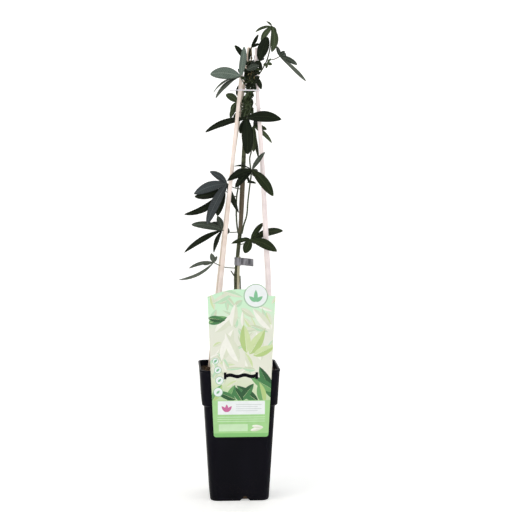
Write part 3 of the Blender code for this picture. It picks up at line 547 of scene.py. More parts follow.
# %% A tree that strews crumbs and fibres
TILT = 0.5  # radians, how far a crumb leans
HALF_TURN = 3.14
strew_tree, given, grown = start_tree("strew_over_a_surface", {
    "Density": "Float", "Seed": "Int", "Smallest": "Float", "Largest": "Float", "Stretch": "Vector",
    "Lift": "Float", "Surface": "Material"})
tree = strew_tree
points = add(tree, "GeometryNodeDistributePointsOnFaces",
             {"Mesh": given["Geometry"], "Density": given["Density"], "Seed": given["Seed"]})
turn = add(tree, "FunctionNodeRandomValue",
           {"Min": (-TILT, -TILT, -HALF_TURN), "Max": (TILT, TILT, HALF_TURN), "Seed": given["Seed"]},
           data_type="FLOAT_VECTOR")
size = add(tree, "FunctionNodeRandomValue",
           {"Min": given["Smallest"], "Max": given["Largest"], "Seed": given["Seed"]})
place = add(tree, "GeometryNodeInputPosition")
dents = add(tree, "ShaderNodeTexNoise", {"Vector": place, "Scale": 1.3}, out=1)
dents = chain(tree, VECTORS, dents, ("SUBTRACT", (0.5, 0.5, 0.5)))
lump = add(tree, "GeometryNodeMeshIcoSphere", {"Radius": 1.0, "Subdivisions": 1})
lump = add(tree, "GeometryNodeSetPosition", {"Geometry": lump, "Offset": dents})
lump = add(tree, "GeometryNodeTransform", {"Geometry": lump, "Scale": given["Stretch"]})
strewn = add(tree, "GeometryNodeInstanceOnPoints",
             {"Points": points, "Instance": lump, "Rotation": turn, "Scale": size})
raised = add(tree, "ShaderNodeCombineXYZ", {"Z": given["Lift"]})
strewn = add(tree, "GeometryNodeTranslateInstances",
             {"Instances": strewn, "Translation": raised, "Local Space": False})
strewn = add(tree, "GeometryNodeRealizeInstances", {"Geometry": strewn})
add(tree, "GeometryNodeSetMaterial", {"Geometry": strewn, "Material": given["Surface"]}, to=grown)

# %% Strew over the compost
SURFACE_LEVEL = 0.3  # a face whose normal rises less is a side
SURFACE_FOOT = 0.18  # metres, under which no face is top
WALL_CLEARANCE = 4
CRUMB_LIFT = 0.1  # so that crumbs don't share a face with the body
# name: how many on a square metre, smallest, largest in mm, stretch, material
STREWN = {
    "compost_crumbs": (130000, 0.5, 1.7, (1.0, 0.8, 0.65), compost),
    "compost_bark_chips": (16000, 0.9, 2.4, (1.6, 0.8, 0.35), fibre_bark),
    "compost_fibres": (26000, 0.5, 1.0, (6.0, 0.28, 0.24), fibre_bark),
}


def soil_top():
    """The top of the compost by itself, kept off the pot's walls."""
    cage = bmesh.new()
    cage.from_mesh(soil.data)
    inside = (soil_top_width / 2 - WALL_CLEARANCE) * MM
    off = [face for face in cage.faces
           if face.normal.z < SURFACE_LEVEL or face.calc_center_median().z < SURFACE_FOOT
           or max(max(abs(vertex.co.x), abs(vertex.co.y)) for vertex in face.verts) > inside]
    bmesh.ops.delete(cage, geom=off, context="FACES")
    mesh = bpy.data.meshes.new("compost_top")
    cage.to_mesh(mesh)
    cage.free()
    return mesh


for number, (name, (density, least, most, stretch, surface)) in enumerate(STREWN.items()):
    strewn = run_tree(strew_tree, name, soil_top(), {
        "Density": float(density), "Seed": number, "Smallest": least * MM, "Largest": most * MM,
        "Stretch": stretch, "Lift": CRUMB_LIFT * MM, "Surface": surface})
    dress(strewn, "compost")

# %% [markdown]
# ## Label card
#
# The card is one closed sheet of coated board. Its print is generic: simple leaves in light and dark
# greens over a cream and mint wash, round dots, a bare white panel and a striped green foot. Raised
# plates or an image could carry such a print. Here the outlines of all motifs are cut into the card's
# own face by a constrained triangulation, and each small region takes the ink that lies on top, so the
# print is as flat and sharp as real ink and stays with the mesh.

# %% Card sizes
CARD_THICKNESS = 0.6
CARD_FOOT_HEIGHT = 101.4
CARD_FOOT_HALF = 41.6
CARD_WAIST = 104
CARD_WAIST_HALF = 46.3
CARD_SHOULDER = 217
CARD_TOP_HALF = 51.2
CARD_ARCH = 10.5
CARD_ARCH_HALF = 46
CARD_ARCH_CENTRE = -4
CARD_CORNER = 4
CARD_CORNER_STEPS = 6
CARD_SIDE_SHIFT = 1.5
CARD_GAP = 0.35
DISC_CENTRE = (21.5, 217.5)
DISC_RADIUS = 18
DISC_SIDES = 60
DISC_RIM = (0.5, -1.2)  # of its printed ring, from the disc's own edge
CARD_TOP_STEPS = 60
SLOT_CENTRE = (-0.5, 95)
SLOT_HALF_LENGTH = 22
SLOT_HALF_GAP = 2.8
SLOT_WAVE = 1.2
SLOT_END_HALF = 5.4
SLOT_END_WIDTH = 4.0
SLOT_STEPS = 30


def card_outline():
    """The card's edge: rounded foot, slight taper, arched top and the disc that rises over it."""
    def top(x):
        height = CARD_SHOULDER
        if abs(x - CARD_ARCH_CENTRE) < CARD_ARCH_HALF:
            height += CARD_ARCH * math.cos(math.pi * (x - CARD_ARCH_CENTRE) / (2 * CARD_ARCH_HALF))
        from_disc = DISC_RADIUS ** 2 - (x - DISC_CENTRE[0]) ** 2
        return max(height, DISC_CENTRE[1] + math.sqrt(from_disc)) if from_disc > 0 else height

    right = []
    for step in range(CARD_CORNER_STEPS + 1):
        turn = math.pi / 2 * step / CARD_CORNER_STEPS
        right.append((CARD_FOOT_HALF - CARD_CORNER * (1 - math.sin(turn)),
                      CARD_CORNER * (1 - math.cos(turn))))
    right.append((CARD_WAIST_HALF, CARD_WAIST))
    across = [CARD_TOP_HALF * (1 - 2 * step / CARD_TOP_STEPS) for step in range(CARD_TOP_STEPS + 1)]
    return right + [(x, top(x)) for x in across] + [(-x, y) for x, y in reversed(right)]


def slot_outline():
    """A wavy slit with a short cross cut at each end."""
    def wave(x):
        return SLOT_WAVE * math.sin(2 * math.pi * x / SLOT_HALF_LENGTH)

    across = [SLOT_HALF_LENGTH * (2 * step / SLOT_STEPS - 1) for step in range(SLOT_STEPS + 1)]
    end = SLOT_HALF_LENGTH + SLOT_END_WIDTH
    points = [(x, wave(x) + SLOT_HALF_GAP) for x in across]
    points += [(SLOT_HALF_LENGTH, SLOT_END_HALF), (end, SLOT_END_HALF), (end, -SLOT_END_HALF),
               (SLOT_HALF_LENGTH, -SLOT_END_HALF)]
    points += [(x, wave(x) - SLOT_HALF_GAP) for x in reversed(across)]
    points += [(-SLOT_HALF_LENGTH, -SLOT_END_HALF), (-end, -SLOT_END_HALF), (-end, SLOT_END_HALF),
               (-SLOT_HALF_LENGTH, SLOT_END_HALF)]
    return [(x + SLOT_CENTRE[0], y + SLOT_CENTRE[1]) for x, y in points]


def card_matrix():
    """Stands the card against the lip and the collar's foot, its printed face to the front."""
    lip = Vector((0, -RIM_WIDTH / 2, LIP_FOOT + LIP_REACH))
    foot = Vector((0, -COLLAR_FOOT_WIDTH / 2, COLLAR_FOOT_HEIGHT))
    upward = (lip - foot).normalized()
    outward = Vector((1, 0, 0)).cross(upward)
    start = foot - upward * (foot.z - CARD_FOOT_HEIGHT) / upward.z
    start += outward * (CARD_GAP + CARD_THICKNESS / 2) + Vector((CARD_SIDE_SHIFT, 0, 0))
    turned = Matrix((Vector((1, 0, 0)), upward, outward)).transposed().to_4x4()
    turned.translation = start
    return turned


# %% Motifs of the print
LEAF_STEPS = 10
LEAF_BULGE = 0.85  # under 1 moves a printed leaf's widest place towards its foot
LEAF_BLUNTNESS = 0.8  # under 1 rounds its tip


def rectangle(left, bottom, right, top):
    return [(left, bottom), (right, bottom), (right, top), (left, top)]


def leaf_axes(turn):
    """The way a printed leaf points and the way across it, for a clock angle."""
    ahead = Vector((math.sin(math.radians(turn)), math.cos(math.radians(turn))))
    return ahead, Vector((ahead.y, -ahead.x))


def printed_leaf(x, y, turn, length, width, halves=(1, -1)):
    """The outline of a pointed leaf, or of one half of it, from its foot at x, y."""
    ahead, side = leaf_axes(turn)
    foot = Vector((x, y))
    shares = [step / LEAF_STEPS for step in range(1, LEAF_STEPS)]
    rows = [(t, width / 2 * math.sin(math.pi * t ** LEAF_BULGE) ** LEAF_BLUNTNESS) for t in shares]
    edge = [foot] + [foot + ahead * length * t + side * half * halves[0] for t, half in rows]
    edge.append(foot + ahead * length)
    if len(halves) > 1:
        edge += [foot + ahead * length * t + side * half * halves[1] for t, half in reversed(rows)]
    return [tuple(point) for point in edge]


# ink: sRGB colour
INKS = {
    "wash": None, "stock": "f0f1ec", "white": "eef3f4", "pale": "f3f3ea", "cream": "dde2cd",
    "shade": "cdd8bb", "mint": "bcdfbd", "lime": "b6cf86", "lime_light": "d0e0aa",
    "mid_green": "71a868", "leaf_green": "437f4a", "dark_green": "275631", "foot_green": "a5d690",
    "foot_line": "cbe8bf", "foot_stripe": "86c576", "rim": "a3c4a6", "sprig": "7fbf93",
    "rose": "c8689a", "grey_line": "c9cfd0",
}
# ink of the leaf, ink of its shaded half, x, y, turn, length, width
PRINTED_LEAVES = [
    ("pale", "cream", -30, 118, 20, 52, 17), ("pale", "cream", -4, 116, -24, 50, 17),
    ("pale", "cream", 30, 118, -8, 46, 15), ("pale", "cream", -40, 162, 48, 44, 14),
    ("pale", "cream", -14, 170, 8, 36, 12), ("pale", "cream", 44, 166, -40, 42, 14),
    ("cream", "mint", -44, 206, 62, 40, 10), ("mint", "cream", -30, 226, 108, 34, 8),
    ("lime_light", "lime", 12, 128, 32, 44, 17), ("lime", "lime_light", 8, 130, -6, 44, 16),
    ("lime_light", "lime", 18, 126, 66, 36, 14),
    ("mid_green", "leaf_green", -50, 176, 72, 30, 12), ("leaf_green", "dark_green", -50, 184, 98, 26, 10),
    ("leaf_green", "dark_green", 50, 58, -24, 56, 17), ("mid_green", "leaf_green", 52, 70, -58, 46, 15),
    ("mid_green", "lime", 34, 52, -12, 34, 14), ("leaf_green", "dark_green", 26, 54, -52, 42, 14),
    ("dark_green", "leaf_green", -2, 56, 38, 34, 13), ("leaf_green", "dark_green", 2, 54, -30, 30, 12),
    ("mid_green", "leaf_green", -20, 55, 22, 28, 12), ("dark_green", "leaf_green", -8, 58, -66, 34, 11),
    ("mid_green", "lime", -44, 56, 30, 30, 12),
]
MIDRIB_OFF = 0.12  # mm, clear of the line between a leaf's halves
MIDRIB_WIDTH = 0.5
MIDRIB_START = 0.06  # in lengths
MIDRIB_END = 0.84
SOFT_LEAVES = 60  # faint leaves behind the others, strewn by a seeded rule
# their x, y, turn, length and width, each from and to
SOFT_SPANS = [(-50, 50), (78, 222), (-180, 180), (14, 30), (4, 9)]
SOFT_PAIRS = [("cream", "shade"), ("pale", "cream"), ("shade", "mint"), ("cream", "lime_light"),
              ("mint", "shade")]
DOTS = [(-35, 70, 7.2), (-33, 88, 6.4), (-35.5, 104, 5.6), (-39, 118, 4.8)]
DOT_RING = 0.7
PANEL = (-35.5, 35, 36, 56)
PANEL_LINES = [50, 46.8, 43.6, 40.4]
FOOT_BAND = (-60, -5, 60)  # left, bottom and right, past the card's edge
FOOT_BAND_TOP = 57
FOOT_LINES = [30.5, 27.2, 23.9]
FOOT_LINE_HALF = 36
FOOT_LINE_WIDTH = 1.1
PALE_BAR = (-34, 9, 10, 20)
FOOT_STRIPE = 6


def print_leaf(light_ink, shade_ink, x, y, turn, length, width):
    """A leaf in two inks, with its midrib as a hair line in the lighter one."""
    ahead, side = leaf_axes(turn)
    foot = Vector((x, y)) + ahead * length * MIDRIB_START + side * MIDRIB_OFF
    prints.append((light_ink, printed_leaf(x, y, turn, length, width)))
    prints.append((shade_ink, printed_leaf(x, y, turn, length, width, halves=(1,))))
    midrib = [foot, foot + side * MIDRIB_WIDTH, foot + ahead * length * MIDRIB_END]
    prints.append(("lime_light" if "green" in light_ink else "pale", [tuple(point) for point in midrib]))


# %% The print, from the ground up
prints = [("wash", card_outline())]
strewing = random.Random(11)
for number in range(SOFT_LEAVES):
    measures = [strewing.uniform(*span) for span in SOFT_SPANS]
    print_leaf(*SOFT_PAIRS[number % len(SOFT_PAIRS)], *measures)
for leaf in PRINTED_LEAVES:
    print_leaf(*leaf)
prints.append(("foot_green", rectangle(*FOOT_BAND, FOOT_BAND_TOP)))
prints.append(("foot_stripe", rectangle(*FOOT_BAND, FOOT_STRIPE)))
prints += [("foot_line", rectangle(-FOOT_LINE_HALF, y, FOOT_LINE_HALF, y + FOOT_LINE_WIDTH))
           for y in FOOT_LINES]
prints.append(("foot_line", rectangle(*PALE_BAR)))
print_leaf("pale", "cream", 14, 10, 78, 20, 6)
print_leaf("pale", "cream", 16, 17, 96, 18, 5)
prints.append(("white", rectangle(*PANEL)))
prints += [("grey_line", rectangle(-8, y, 31 - 6 * (number % 2), y + 0.8))
           for number, y in enumerate(PANEL_LINES)]
prints += [("rose", printed_leaf(-22, 39, turn, 12, 5)) for turn in (-40, 0, 40)]
for x, y, radius in DOTS:
    prints += [("sprig", circle(x, y, radius)), ("white", circle(x, y, radius - DOT_RING))]
    prints.append(("sprig", printed_leaf(x - 2.4, y - 2.4, 45, 7, 3.4)))
for ink, reach in zip(("rim", "white"), DISC_RIM):
    prints.append((ink, circle(*DISC_CENTRE, DISC_RADIUS + reach, DISC_SIDES)))
for turn, length in ((-52, 13), (0, 18), (52, 13)):
    prints.append(("sprig", printed_leaf(DISC_CENTRE[0], DISC_CENTRE[1] - 9, turn, length, 6)))
print("motifs:", len(prints))


# %% Inks
# place on the card's height, from its foot to its top, and the wash there
WASH = [(0, "abca97"), (0.16, "c9d5b3"), (0.32, "dadbcd"), (0.66, "d8dbcd"), (0.8, "c6e3c6"), (1, "bde3c4")]
WASH_FOOT = 0.17  # metres
WASH_TOP = 0.36
DRIFT_SIZE = 38.5  # mm, how unevenly the wash was laid
MOTTLE_SIZE = 8.33  # of the ink
PEEL_SIZE = 1.43  # of the coating, drawn coarser than real, so that it shows


def printed_ink(name, code):
    """Coated board under ink: smooth, faintly uneven in tone, with a slight gloss."""
    made, tree, shader = start_material(
        f"coated_board_{name}", Roughness=0.34, IOR=1.5, Specular_IOR_Level=0.35)
    place = add(tree, "ShaderNodeTexCoord", out=3)
    if code is None:
        height = add(tree, "ShaderNodeSeparateXYZ", {"Vector": place}, out=2)
        drift = add(tree, "ShaderNodeTexNoise",
                    {"Vector": place, "Scale": per_metre(DRIFT_SIZE), "Detail": 1.0})
        height = chain(tree, NUMBERS, drift, ("MULTIPLY_ADD", 0.05, height))
        level = add(tree, "ShaderNodeMapRange",
                    {"Value": height, "From Min": WASH_FOOT, "From Max": WASH_TOP})
        add(tree, "ShaderNodeValToRGB", {"Fac": level}, to=shader["Base Color"], stops=WASH)
    else:
        mottle = add(tree, "ShaderNodeTexNoise",
                     {"Vector": place, "Scale": per_metre(MOTTLE_SIZE), "Detail": 3.0})
        tone = chain(tree, NUMBERS, mottle, ("MULTIPLY_ADD", 0.16, 0.8))
        add(tree, VECTORS, {0: linear(code)[:3], "Scale": tone}, to=shader["Base Color"], operation="SCALE")
    peel = add(tree, "ShaderNodeTexNoise", {"Vector": place, "Scale": per_metre(PEEL_SIZE), "Detail": 1.0})
    add(tree, "ShaderNodeBump", {"Height": peel, "Strength": 0.05, "Distance": 0.05 * MM},
        to=shader["Normal"])
    return made


# %% Card mesh
POINT_MERGE = 1e-4  # mm


def print_card():
    """The card's face cut along every motif, each region in the ink that lies on top."""
    outlines = [outline for _, outline in prints] + [slot_outline()[::-1]]
    points = [Vector(point) for outline in outlines for point in outline]
    faces, first = [], 0
    for outline in outlines:
        faces.append(list(range(first, first + len(outline))))
        first += len(outline)
    flat, _, regions, _, _, layers = delaunay_2d_cdt(points, [], faces, 1, POINT_MERGE, True)
    cage = bmesh.new()
    corners = [cage.verts.new((point.x, point.y, CARD_THICKNESS / 2)) for point in flat]
    inks = list(INKS)
    for region, covering in zip(regions, layers):
        if 0 in covering and len(outlines) - 1 not in covering:
            face = cage.faces.new([corners[i] for i in region])
            face.normal_update()
            if face.normal.z < 0:
                face.normal_flip()
            face.material_index = inks.index(prints[max(covering)][0])
    bmesh.ops.delete(cage, geom=[corner for corner in cage.verts if not corner.link_faces], context="VERTS")
    front = set(cage.faces)
    grown = bmesh.ops.extrude_face_region(cage, geom=list(cage.faces), use_keep_orig=True)["geom"]
    back = [item for item in grown if isinstance(item, bmesh.types.BMFace)]
    for corner in {corner for face in back for corner in face.verts}:
        corner.co.z = -CARD_THICKNESS / 2
    for face in cage.faces:
        if face not in front:
            face.material_index = inks.index("stock")
    cage.transform(Matrix.Scale(MM, 4) @ card_matrix())
    return keep_cage(cage, "printed_label_card")


card = print_card()
for name, code in INKS.items():
    card.data.materials.append(printed_ink(name, code))
dress(card, "card", "label_card")
print("card", len(card.data.polygons), "faces")

# %% [markdown]
# ## Paths
#
# Canes, stems and stalks are all lines with a thickness. Each is written as a few points, an x, y, z
# and radius, that a gardener could measure, and a Catmull-Rom curve runs smoothly through them.

# %% Smooth paths
def smooth_path(points, steps=6):
    """Points and radii on a smooth curve through the given ones."""
    path = []
    last = len(points) - 1
    for i in range(last):
        before, here, there, after = (
            Vector(points[max(0, min(last, k))]).resized(4) for k in (i - 1, i, i + 1, i + 2))
        for step in range(steps):
            t = step / steps
            path.append(0.5 * (2 * here + t * (there - before)
                               + t ** 2 * (2 * before - 5 * here + 4 * there - after)
                               + t ** 3 * (3 * here - before - 3 * there + after)))
    path.append(Vector(points[last]).resized(4))
    return [(point.xyz, point.w) for point in path]


def at_height(path, height):
    """The centre, the radius and the direction of a rising path at a height."""
    for (low, low_radius), (high, high_radius) in zip(path, path[1:]):
        if low.z <= height <= high.z:
            t = (height - low.z) / (high.z - low.z)
            radius = low_radius + t * (high_radius - low_radius)
            return low.lerp(high, t), radius, (high - low).normalized()
    raise ValueError(f"no stem at {height} mm")


# %% Canes and stems, as points
CANES = {
    "cane_left": [(-44.2, -40.6, 170, 3.9), (-28.7, -34, 332, 3.6), (-15.4, -23, 461, 3.3),
                  (2.1, -12, 629, 2.9), (6.6, -9, 676, 2.7)],
    "cane_right": [(48.6, -12, 172, 4.8), (46.2, -11, 329, 4.8), (43.7, -10, 378, 4.6),
                   (36.6, -7, 522, 3.7), (29.3, -5, 631, 3.0), (27.9, -5, 694, 2.8)],
    "cane_back": [(-45.6, 41, 172, 3.3), (-30.3, 34, 326, 3.0), (-6.2, 20, 529, 2.8),
                  (8.9, 12.6, 632, 2.7), (17.6, 9, 696, 2.6)],
}
MAIN_STEM = [(-2.6, 4, 172, 3.4), (-3.4, 4, 328, 3.2), (-2.3, 4, 352, 3.1), (-0.5, 3.2, 377, 3.0),
             (3.9, 2, 422, 3.2), (5.7, 1.2, 461, 3.8), (8.5, 1, 522, 3.4), (11.7, 2, 587, 2.3),
             (16.4, 3, 630, 1.6), (22.5, 3, 652, 1.3), (31, 3.5, 653, 1.0), (40.2, 1, 667, 1.0),
             (45.6, 0, 679, 0.95), (49.6, 2, 696, 0.9), (51.9, 3, 719, 0.8)]
SIDE_STEM_RIGHT = [(8.6, -1, 422, 1.1), (13.3, -1, 437.5, 1.05), (15.2, -1, 460, 1.0),
                   (18.2, -1, 485.4, 1.0), (20, -1, 501, 1.0), (17.8, -2, 523, 0.95),
                   (20, -2, 535, 0.95), (23.6, -3, 562, 0.85)]
SIDE_STEM_LEFT = [(-1.4, 6.8, 420, 1.1), (-2.5, 8, 437, 1.1), (-2, 9, 464, 1.05),
                  (0.2, 9, 479, 1.0), (4, 8.4, 507, 0.9)]
FOOT_SHOOT = [(3.6, 1.5, 172, 0.9), (3.5, 1.6, 250, 0.9), (3.3, 1.6, 318, 0.9), (2.9, 1.6, 343, 0.8)]
SPLINT = [(-0.2, -2.2, 172, 2.2), (-0.2, -2.2, 328, 2.2), (1.3, -2.9, 373, 2.1)]
STUB = [(-3.2, 3.4, 339, 1.2), (-7.4, 2.5, 345, 1.1), (-11.4, 1.8, 351, 0.9)]
SIDE_STEM_FORK = 409
SINK = 0.6  # how far a stalk's start is sunk into its stem


def leave_stem(path, height, toward):
    """Where a stalk starts, a little inside its stem's bark, and its level direction."""
    centre, radius, _ = at_height(path, height)
    level = Vector((toward.x - centre.x, toward.y - centre.y, 0)).normalized()
    return centre + level * (radius - SINK), level


def side_stem(stem, points):
    """A thinner stem that forks off another: level at first, then along its own points."""
    radius = points[0][3]
    start, level = leave_stem(stem, SIDE_STEM_FORK, Vector(points[0][:3]))
    return [(start, radius)] + smooth_path([(*(start + level), radius)] + points)


paths = {name: smooth_path(points) for name, points in CANES.items()}
paths["main_stem"] = smooth_path(MAIN_STEM)
paths["foot_shoot"] = smooth_path(FOOT_SHOOT)
paths["splint"] = smooth_path(SPLINT)
paths["side_stem_right"] = side_stem(paths["main_stem"], SIDE_STEM_RIGHT)
paths["side_stem_left"] = side_stem(paths["main_stem"], SIDE_STEM_LEFT)
print("paths:", ", ".join(paths))

# %% [markdown]
# ## Tie and tape
#
# A thin plastic strap holds the three canes together and a wider grey tape holds the stem to a short
# splint. Both are strips that are pulled tight: the hull of the round things inside them gives their
# path. Cloth could be simulated, but a taut strip has hardly any freedom. The strip is written as a
# ring of points that is carried along the path, with small creases pushed in.

# %% A function that makes a strip on edge
STRIP_ROWS = 8
STRIP_RIM = 0.35  # how thick the strip's rounded edges are, in thicknesses
CREASE_LENGTH = 3.1  # mm
CREASE_HEIGHT = 2.3


def strip(cage, line, shape, closed, crease):
    """Adds a strip stood on edge along a path of (x, y, z). shape is its width and thickness."""
    width, thickness = shape
    sections = []
    run = 0.0
    for i, (x, y, z) in enumerate(line):
        before = Vector(line[i - 1] if closed or i else line[i]).xy
        after = Vector(line[(i + 1) % len(line)] if closed or i + 1 < len(line) else line[i]).xy
        ahead = (after - before).normalized()
        run += (Vector((x, y)) - before).length
        out = Vector((ahead.y, -ahead.x))
        section = []
        for side in (1, -1):
            for row in range(STRIP_ROWS + 1):
                up = side * (row / STRIP_ROWS - 0.5) * width
                edge = STRIP_RIM if row in (0, STRIP_ROWS) else 1.0
                push = side * thickness / 2 * edge
                push += crease * noise.noise(Vector((run / CREASE_LENGTH, up / CREASE_HEIGHT, x)))
                section.append(cage.verts.new(Vector((*(Vector((x, y)) + out * push), z + up)) * MM))
        sections.append(section)
    pairs = list(zip(sections, sections[1:])) + ([(sections[-1], sections[0])] if closed else [])
    for here, there in pairs:
        for k in range(len(here)):
            cage.faces.new((here[k], here[k - 1], there[k - 1], there[k]))
    if not closed:
        cage.faces.new(sections[0])
        cage.faces.new(list(reversed(sections[-1])))


# %% Functions for a taut path and a piece of strips
HULL_SIDES = 48
HULL_STEP = 0.7  # mm


def round_hull(places, offset, height):
    """The taut path round several paths at a height, as closely set points."""
    points = []
    for path in places:
        centre, radius, _ = at_height(path, height)
        for step in range(HULL_SIDES):
            turn = 2 * math.pi * step / HULL_SIDES
            points.append(centre.xy + (radius + offset) * Vector((math.cos(turn), math.sin(turn))))
    hull = [points[i] for i in convex_hull_2d(points)]
    line = []
    for here, there in zip(hull, hull[1:] + hull[:1]):
        pieces = max(1, round((there - here).length / HULL_STEP))
        line += [(*here.lerp(there, piece / pieces), height) for piece in range(pieces)]
    return line


def strip_piece(name, strips, material):
    """One piece of several strips: each is a path, its shape, whether it is closed, and its creases."""
    cage = bmesh.new()
    for line, shape, closed, crease in strips:
        strip(cage, line, shape, closed, crease)
    made = keep_cage(cage, name)
    made.data.shade_smooth()
    made.data.materials.append(material)
    print(name, "has", len(made.data.polygons), "faces")
    return made


# %% Strap and tape materials
# Soft polyethylene lets a little light in, so the strap looks milky and its shadows are faint.
CLOUD_SIZE = 3.12  # mm, of its milky patches
white_strap = streaked_material(
    "soft_white_polyethylene_strap", [(0, "cfc9d2"), (1, "f1edf3")], CLOUD_SIZE, 2.0,
    IOR=1.5, Specular_IOR_Level=0.4, Roughness=0.38, Subsurface_Weight=0.15, Subsurface_Scale=1.0 * MM)[0]

# Stretched vinyl has streaks, darker and glossier by turns.
STRETCH_WIDTH = 3.85
STRETCH_LENGTH = 16.7
grey_tape, tree, shader, stretch, _ = streaked_material(
    "grey_pvc_tape", [(0.4, "44444a"), (0.66, "8e8d93")], STRETCH_WIDTH, 3.0, length=STRETCH_LENGTH,
    IOR=1.52, Specular_IOR_Level=0.5)
add(tree, "ShaderNodeMapRange", {"Value": stretch, "To Min": 0.2, "To Max": 0.5}, to=shader["Roughness"])
add(tree, "ShaderNodeBump", {"Height": stretch, "Strength": 0.4, "Distance": 0.3 * MM}, to=shader["Normal"])
print("made", white_strap.name, "and", grey_tape.name)

# %% Tie round the canes
TIE_HEIGHT = 629
TIE_SHAPE = (2.0, 0.5)
TIE_OFFSET = 1.1
TIE_CREASE = 0.12
TAIL_LENGTH = 14.2
TAIL_START = (-1.7, -0.4)  # from the left cane's axis, in x and y
TAIL_SWING = 1.2
TAIL_DROP = 0.5
TAIL_SHAPE = (1.7, 0.45)
TAIL_CREASE = 0.2
TAIL_STEPS = 16

tie_line = round_hull([paths[name] for name in CANES], TIE_OFFSET, TIE_HEIGHT)
left_cane = at_height(paths["cane_left"], TIE_HEIGHT)[0]
tail = []
for step in range(TAIL_STEPS + 1):
    t = step / TAIL_STEPS
    tail.append((left_cane.x + TAIL_START[0] - TAIL_LENGTH * t,
                 left_cane.y + TAIL_START[1] + TAIL_SWING * t * t, TIE_HEIGHT - TAIL_DROP * t * t))
tie = strip_piece("cane_tie_strap", [(tie_line, TIE_SHAPE, True, TIE_CREASE),
                                     (tail, TAIL_SHAPE, False, TAIL_CREASE)], white_strap)
dress(tie, "tie", "cane_tie")

# %% Tape round the stem and its splint
TAPE_MIDDLE = 365.5
TAPE_SHAPE = (12.6, 0.5)
TAPE_OFFSET = 1.1
TAPE_CREASE = 0.5
FLAG_LENGTH = 21.8
FLAG_START = (3.2, -4.4)  # from the stem's axis, in x and y
FLAG_WAVE = 0.25
FLAG_TURNS = 9  # radians of that wave
FLAG_DROOP = 2.2
FLAG_SHAPE = (11.6, 0.7)
FLAG_CREASE = 0.35
FLAG_STEPS = 36

tape_line = round_hull([paths["main_stem"], paths["splint"]], TAPE_OFFSET, TAPE_MIDDLE)
stem_place = at_height(paths["main_stem"], TAPE_MIDDLE)[0]
flag = []
for step in range(FLAG_STEPS + 1):
    t = step / FLAG_STEPS
    flag.append((stem_place.x + FLAG_START[0] + FLAG_LENGTH * t,
                 stem_place.y + FLAG_START[1] + FLAG_WAVE * math.sin(FLAG_TURNS * t),
                 TAPE_MIDDLE - FLAG_DROOP * t ** 1.5))
tape = strip_piece("stem_tape_wrap", [(tape_line, TAPE_SHAPE, True, TAPE_CREASE),
                                      (flag, FLAG_SHAPE, False, FLAG_CREASE)], grey_tape)
dress(tape, "tape", "stem_tape")

# %% [markdown]
# ## A tree that grows a stem along a path
#
# A stem's bark is long ridges and shallow furrows, and a split cane has flats left by the knife. Both
# can be grown by one Geometry Nodes tree: it sweeps a ring along the path, scaled by the path's
# radius, then pushes each point in or out by a noise that is stretched along the stem. The noise
# reads the place a point would have if the stem were straight, which has no seam. The tree keeps that
# place as an attribute, so the materials can follow the grain too.

# %% The stem tree
stem_tree, given, grown = start_tree("stem_along_a_path", {
    "Step": "Float", "Sides": "Int", "Flatness": "Float", "Relief": "Float", "Ridge width": "Float",
    "Ridge length": "Float", "Facets": "Float", "Seed": "Float", "Bark": "Material"})
tree = stem_tree
NUMBER_ON_POINTS = {"data_type": "FLOAT", "domain": "POINT"}
VECTOR_ON_POINTS = {"data_type": "FLOAT_VECTOR", "domain": "POINT"}
FACET_WIDTH = (1.1, 1.1, 0.0)  # facets round the ring
FACET_CHANGE = 5.0  # and how fast they change along the stem

line = add(tree, "GeometryNodeMeshToCurve", {"Mesh": given["Geometry"]})
line = add(tree, "GeometryNodeResampleCurve", {"Curve": line, "Length": given["Step"]}, mode="LENGTH")
length = add(tree, "GeometryNodeSplineParameter", out=1)
line = add(tree, "GeometryNodeStoreNamedAttribute",
           {"Geometry": line, "Name": "run", "Value": length}, **NUMBER_ON_POINTS)
ring = add(tree, "GeometryNodeCurvePrimitiveCircle", {"Resolution": given["Sides"], "Radius": 1.0})
ring_place = add(tree, "GeometryNodeInputPosition")
ring = add(tree, "GeometryNodeStoreNamedAttribute",
           {"Geometry": ring, "Name": "ring", "Value": ring_place}, **VECTOR_ON_POINTS)
squash = add(tree, "ShaderNodeCombineXYZ", {"X": 1.0, "Y": given["Flatness"], "Z": 1.0})
flat_place = chain(tree, VECTORS, ring_place, ("MULTIPLY", squash))
ring = add(tree, "GeometryNodeSetPosition", {"Geometry": ring, "Position": flat_place})
radius = add(tree, "GeometryNodeInputNamedAttribute", {"Name": "radius"}, data_type="FLOAT")
stem = add(tree, "GeometryNodeCurveToMesh",
           {"Curve": line, "Profile Curve": ring, "Scale": radius, "Fill Caps": True})

# %% The stem tree: the place of each point on a straight stem
ring_of_point = add(tree, "GeometryNodeInputNamedAttribute", {"Name": "ring"}, data_type="FLOAT_VECTOR")
run_of_point = add(tree, "GeometryNodeInputNamedAttribute", {"Name": "run"}, data_type="FLOAT")
along = add(tree, "ShaderNodeCombineXYZ", {"Z": run_of_point})
straight = chain(tree, VECTORS, ring_of_point, ("SCALE", radius), ("ADD", along))
stem = add(tree, "GeometryNodeStoreNamedAttribute",
           {"Geometry": stem, "Name": "straight", "Value": straight}, **VECTOR_ON_POINTS)

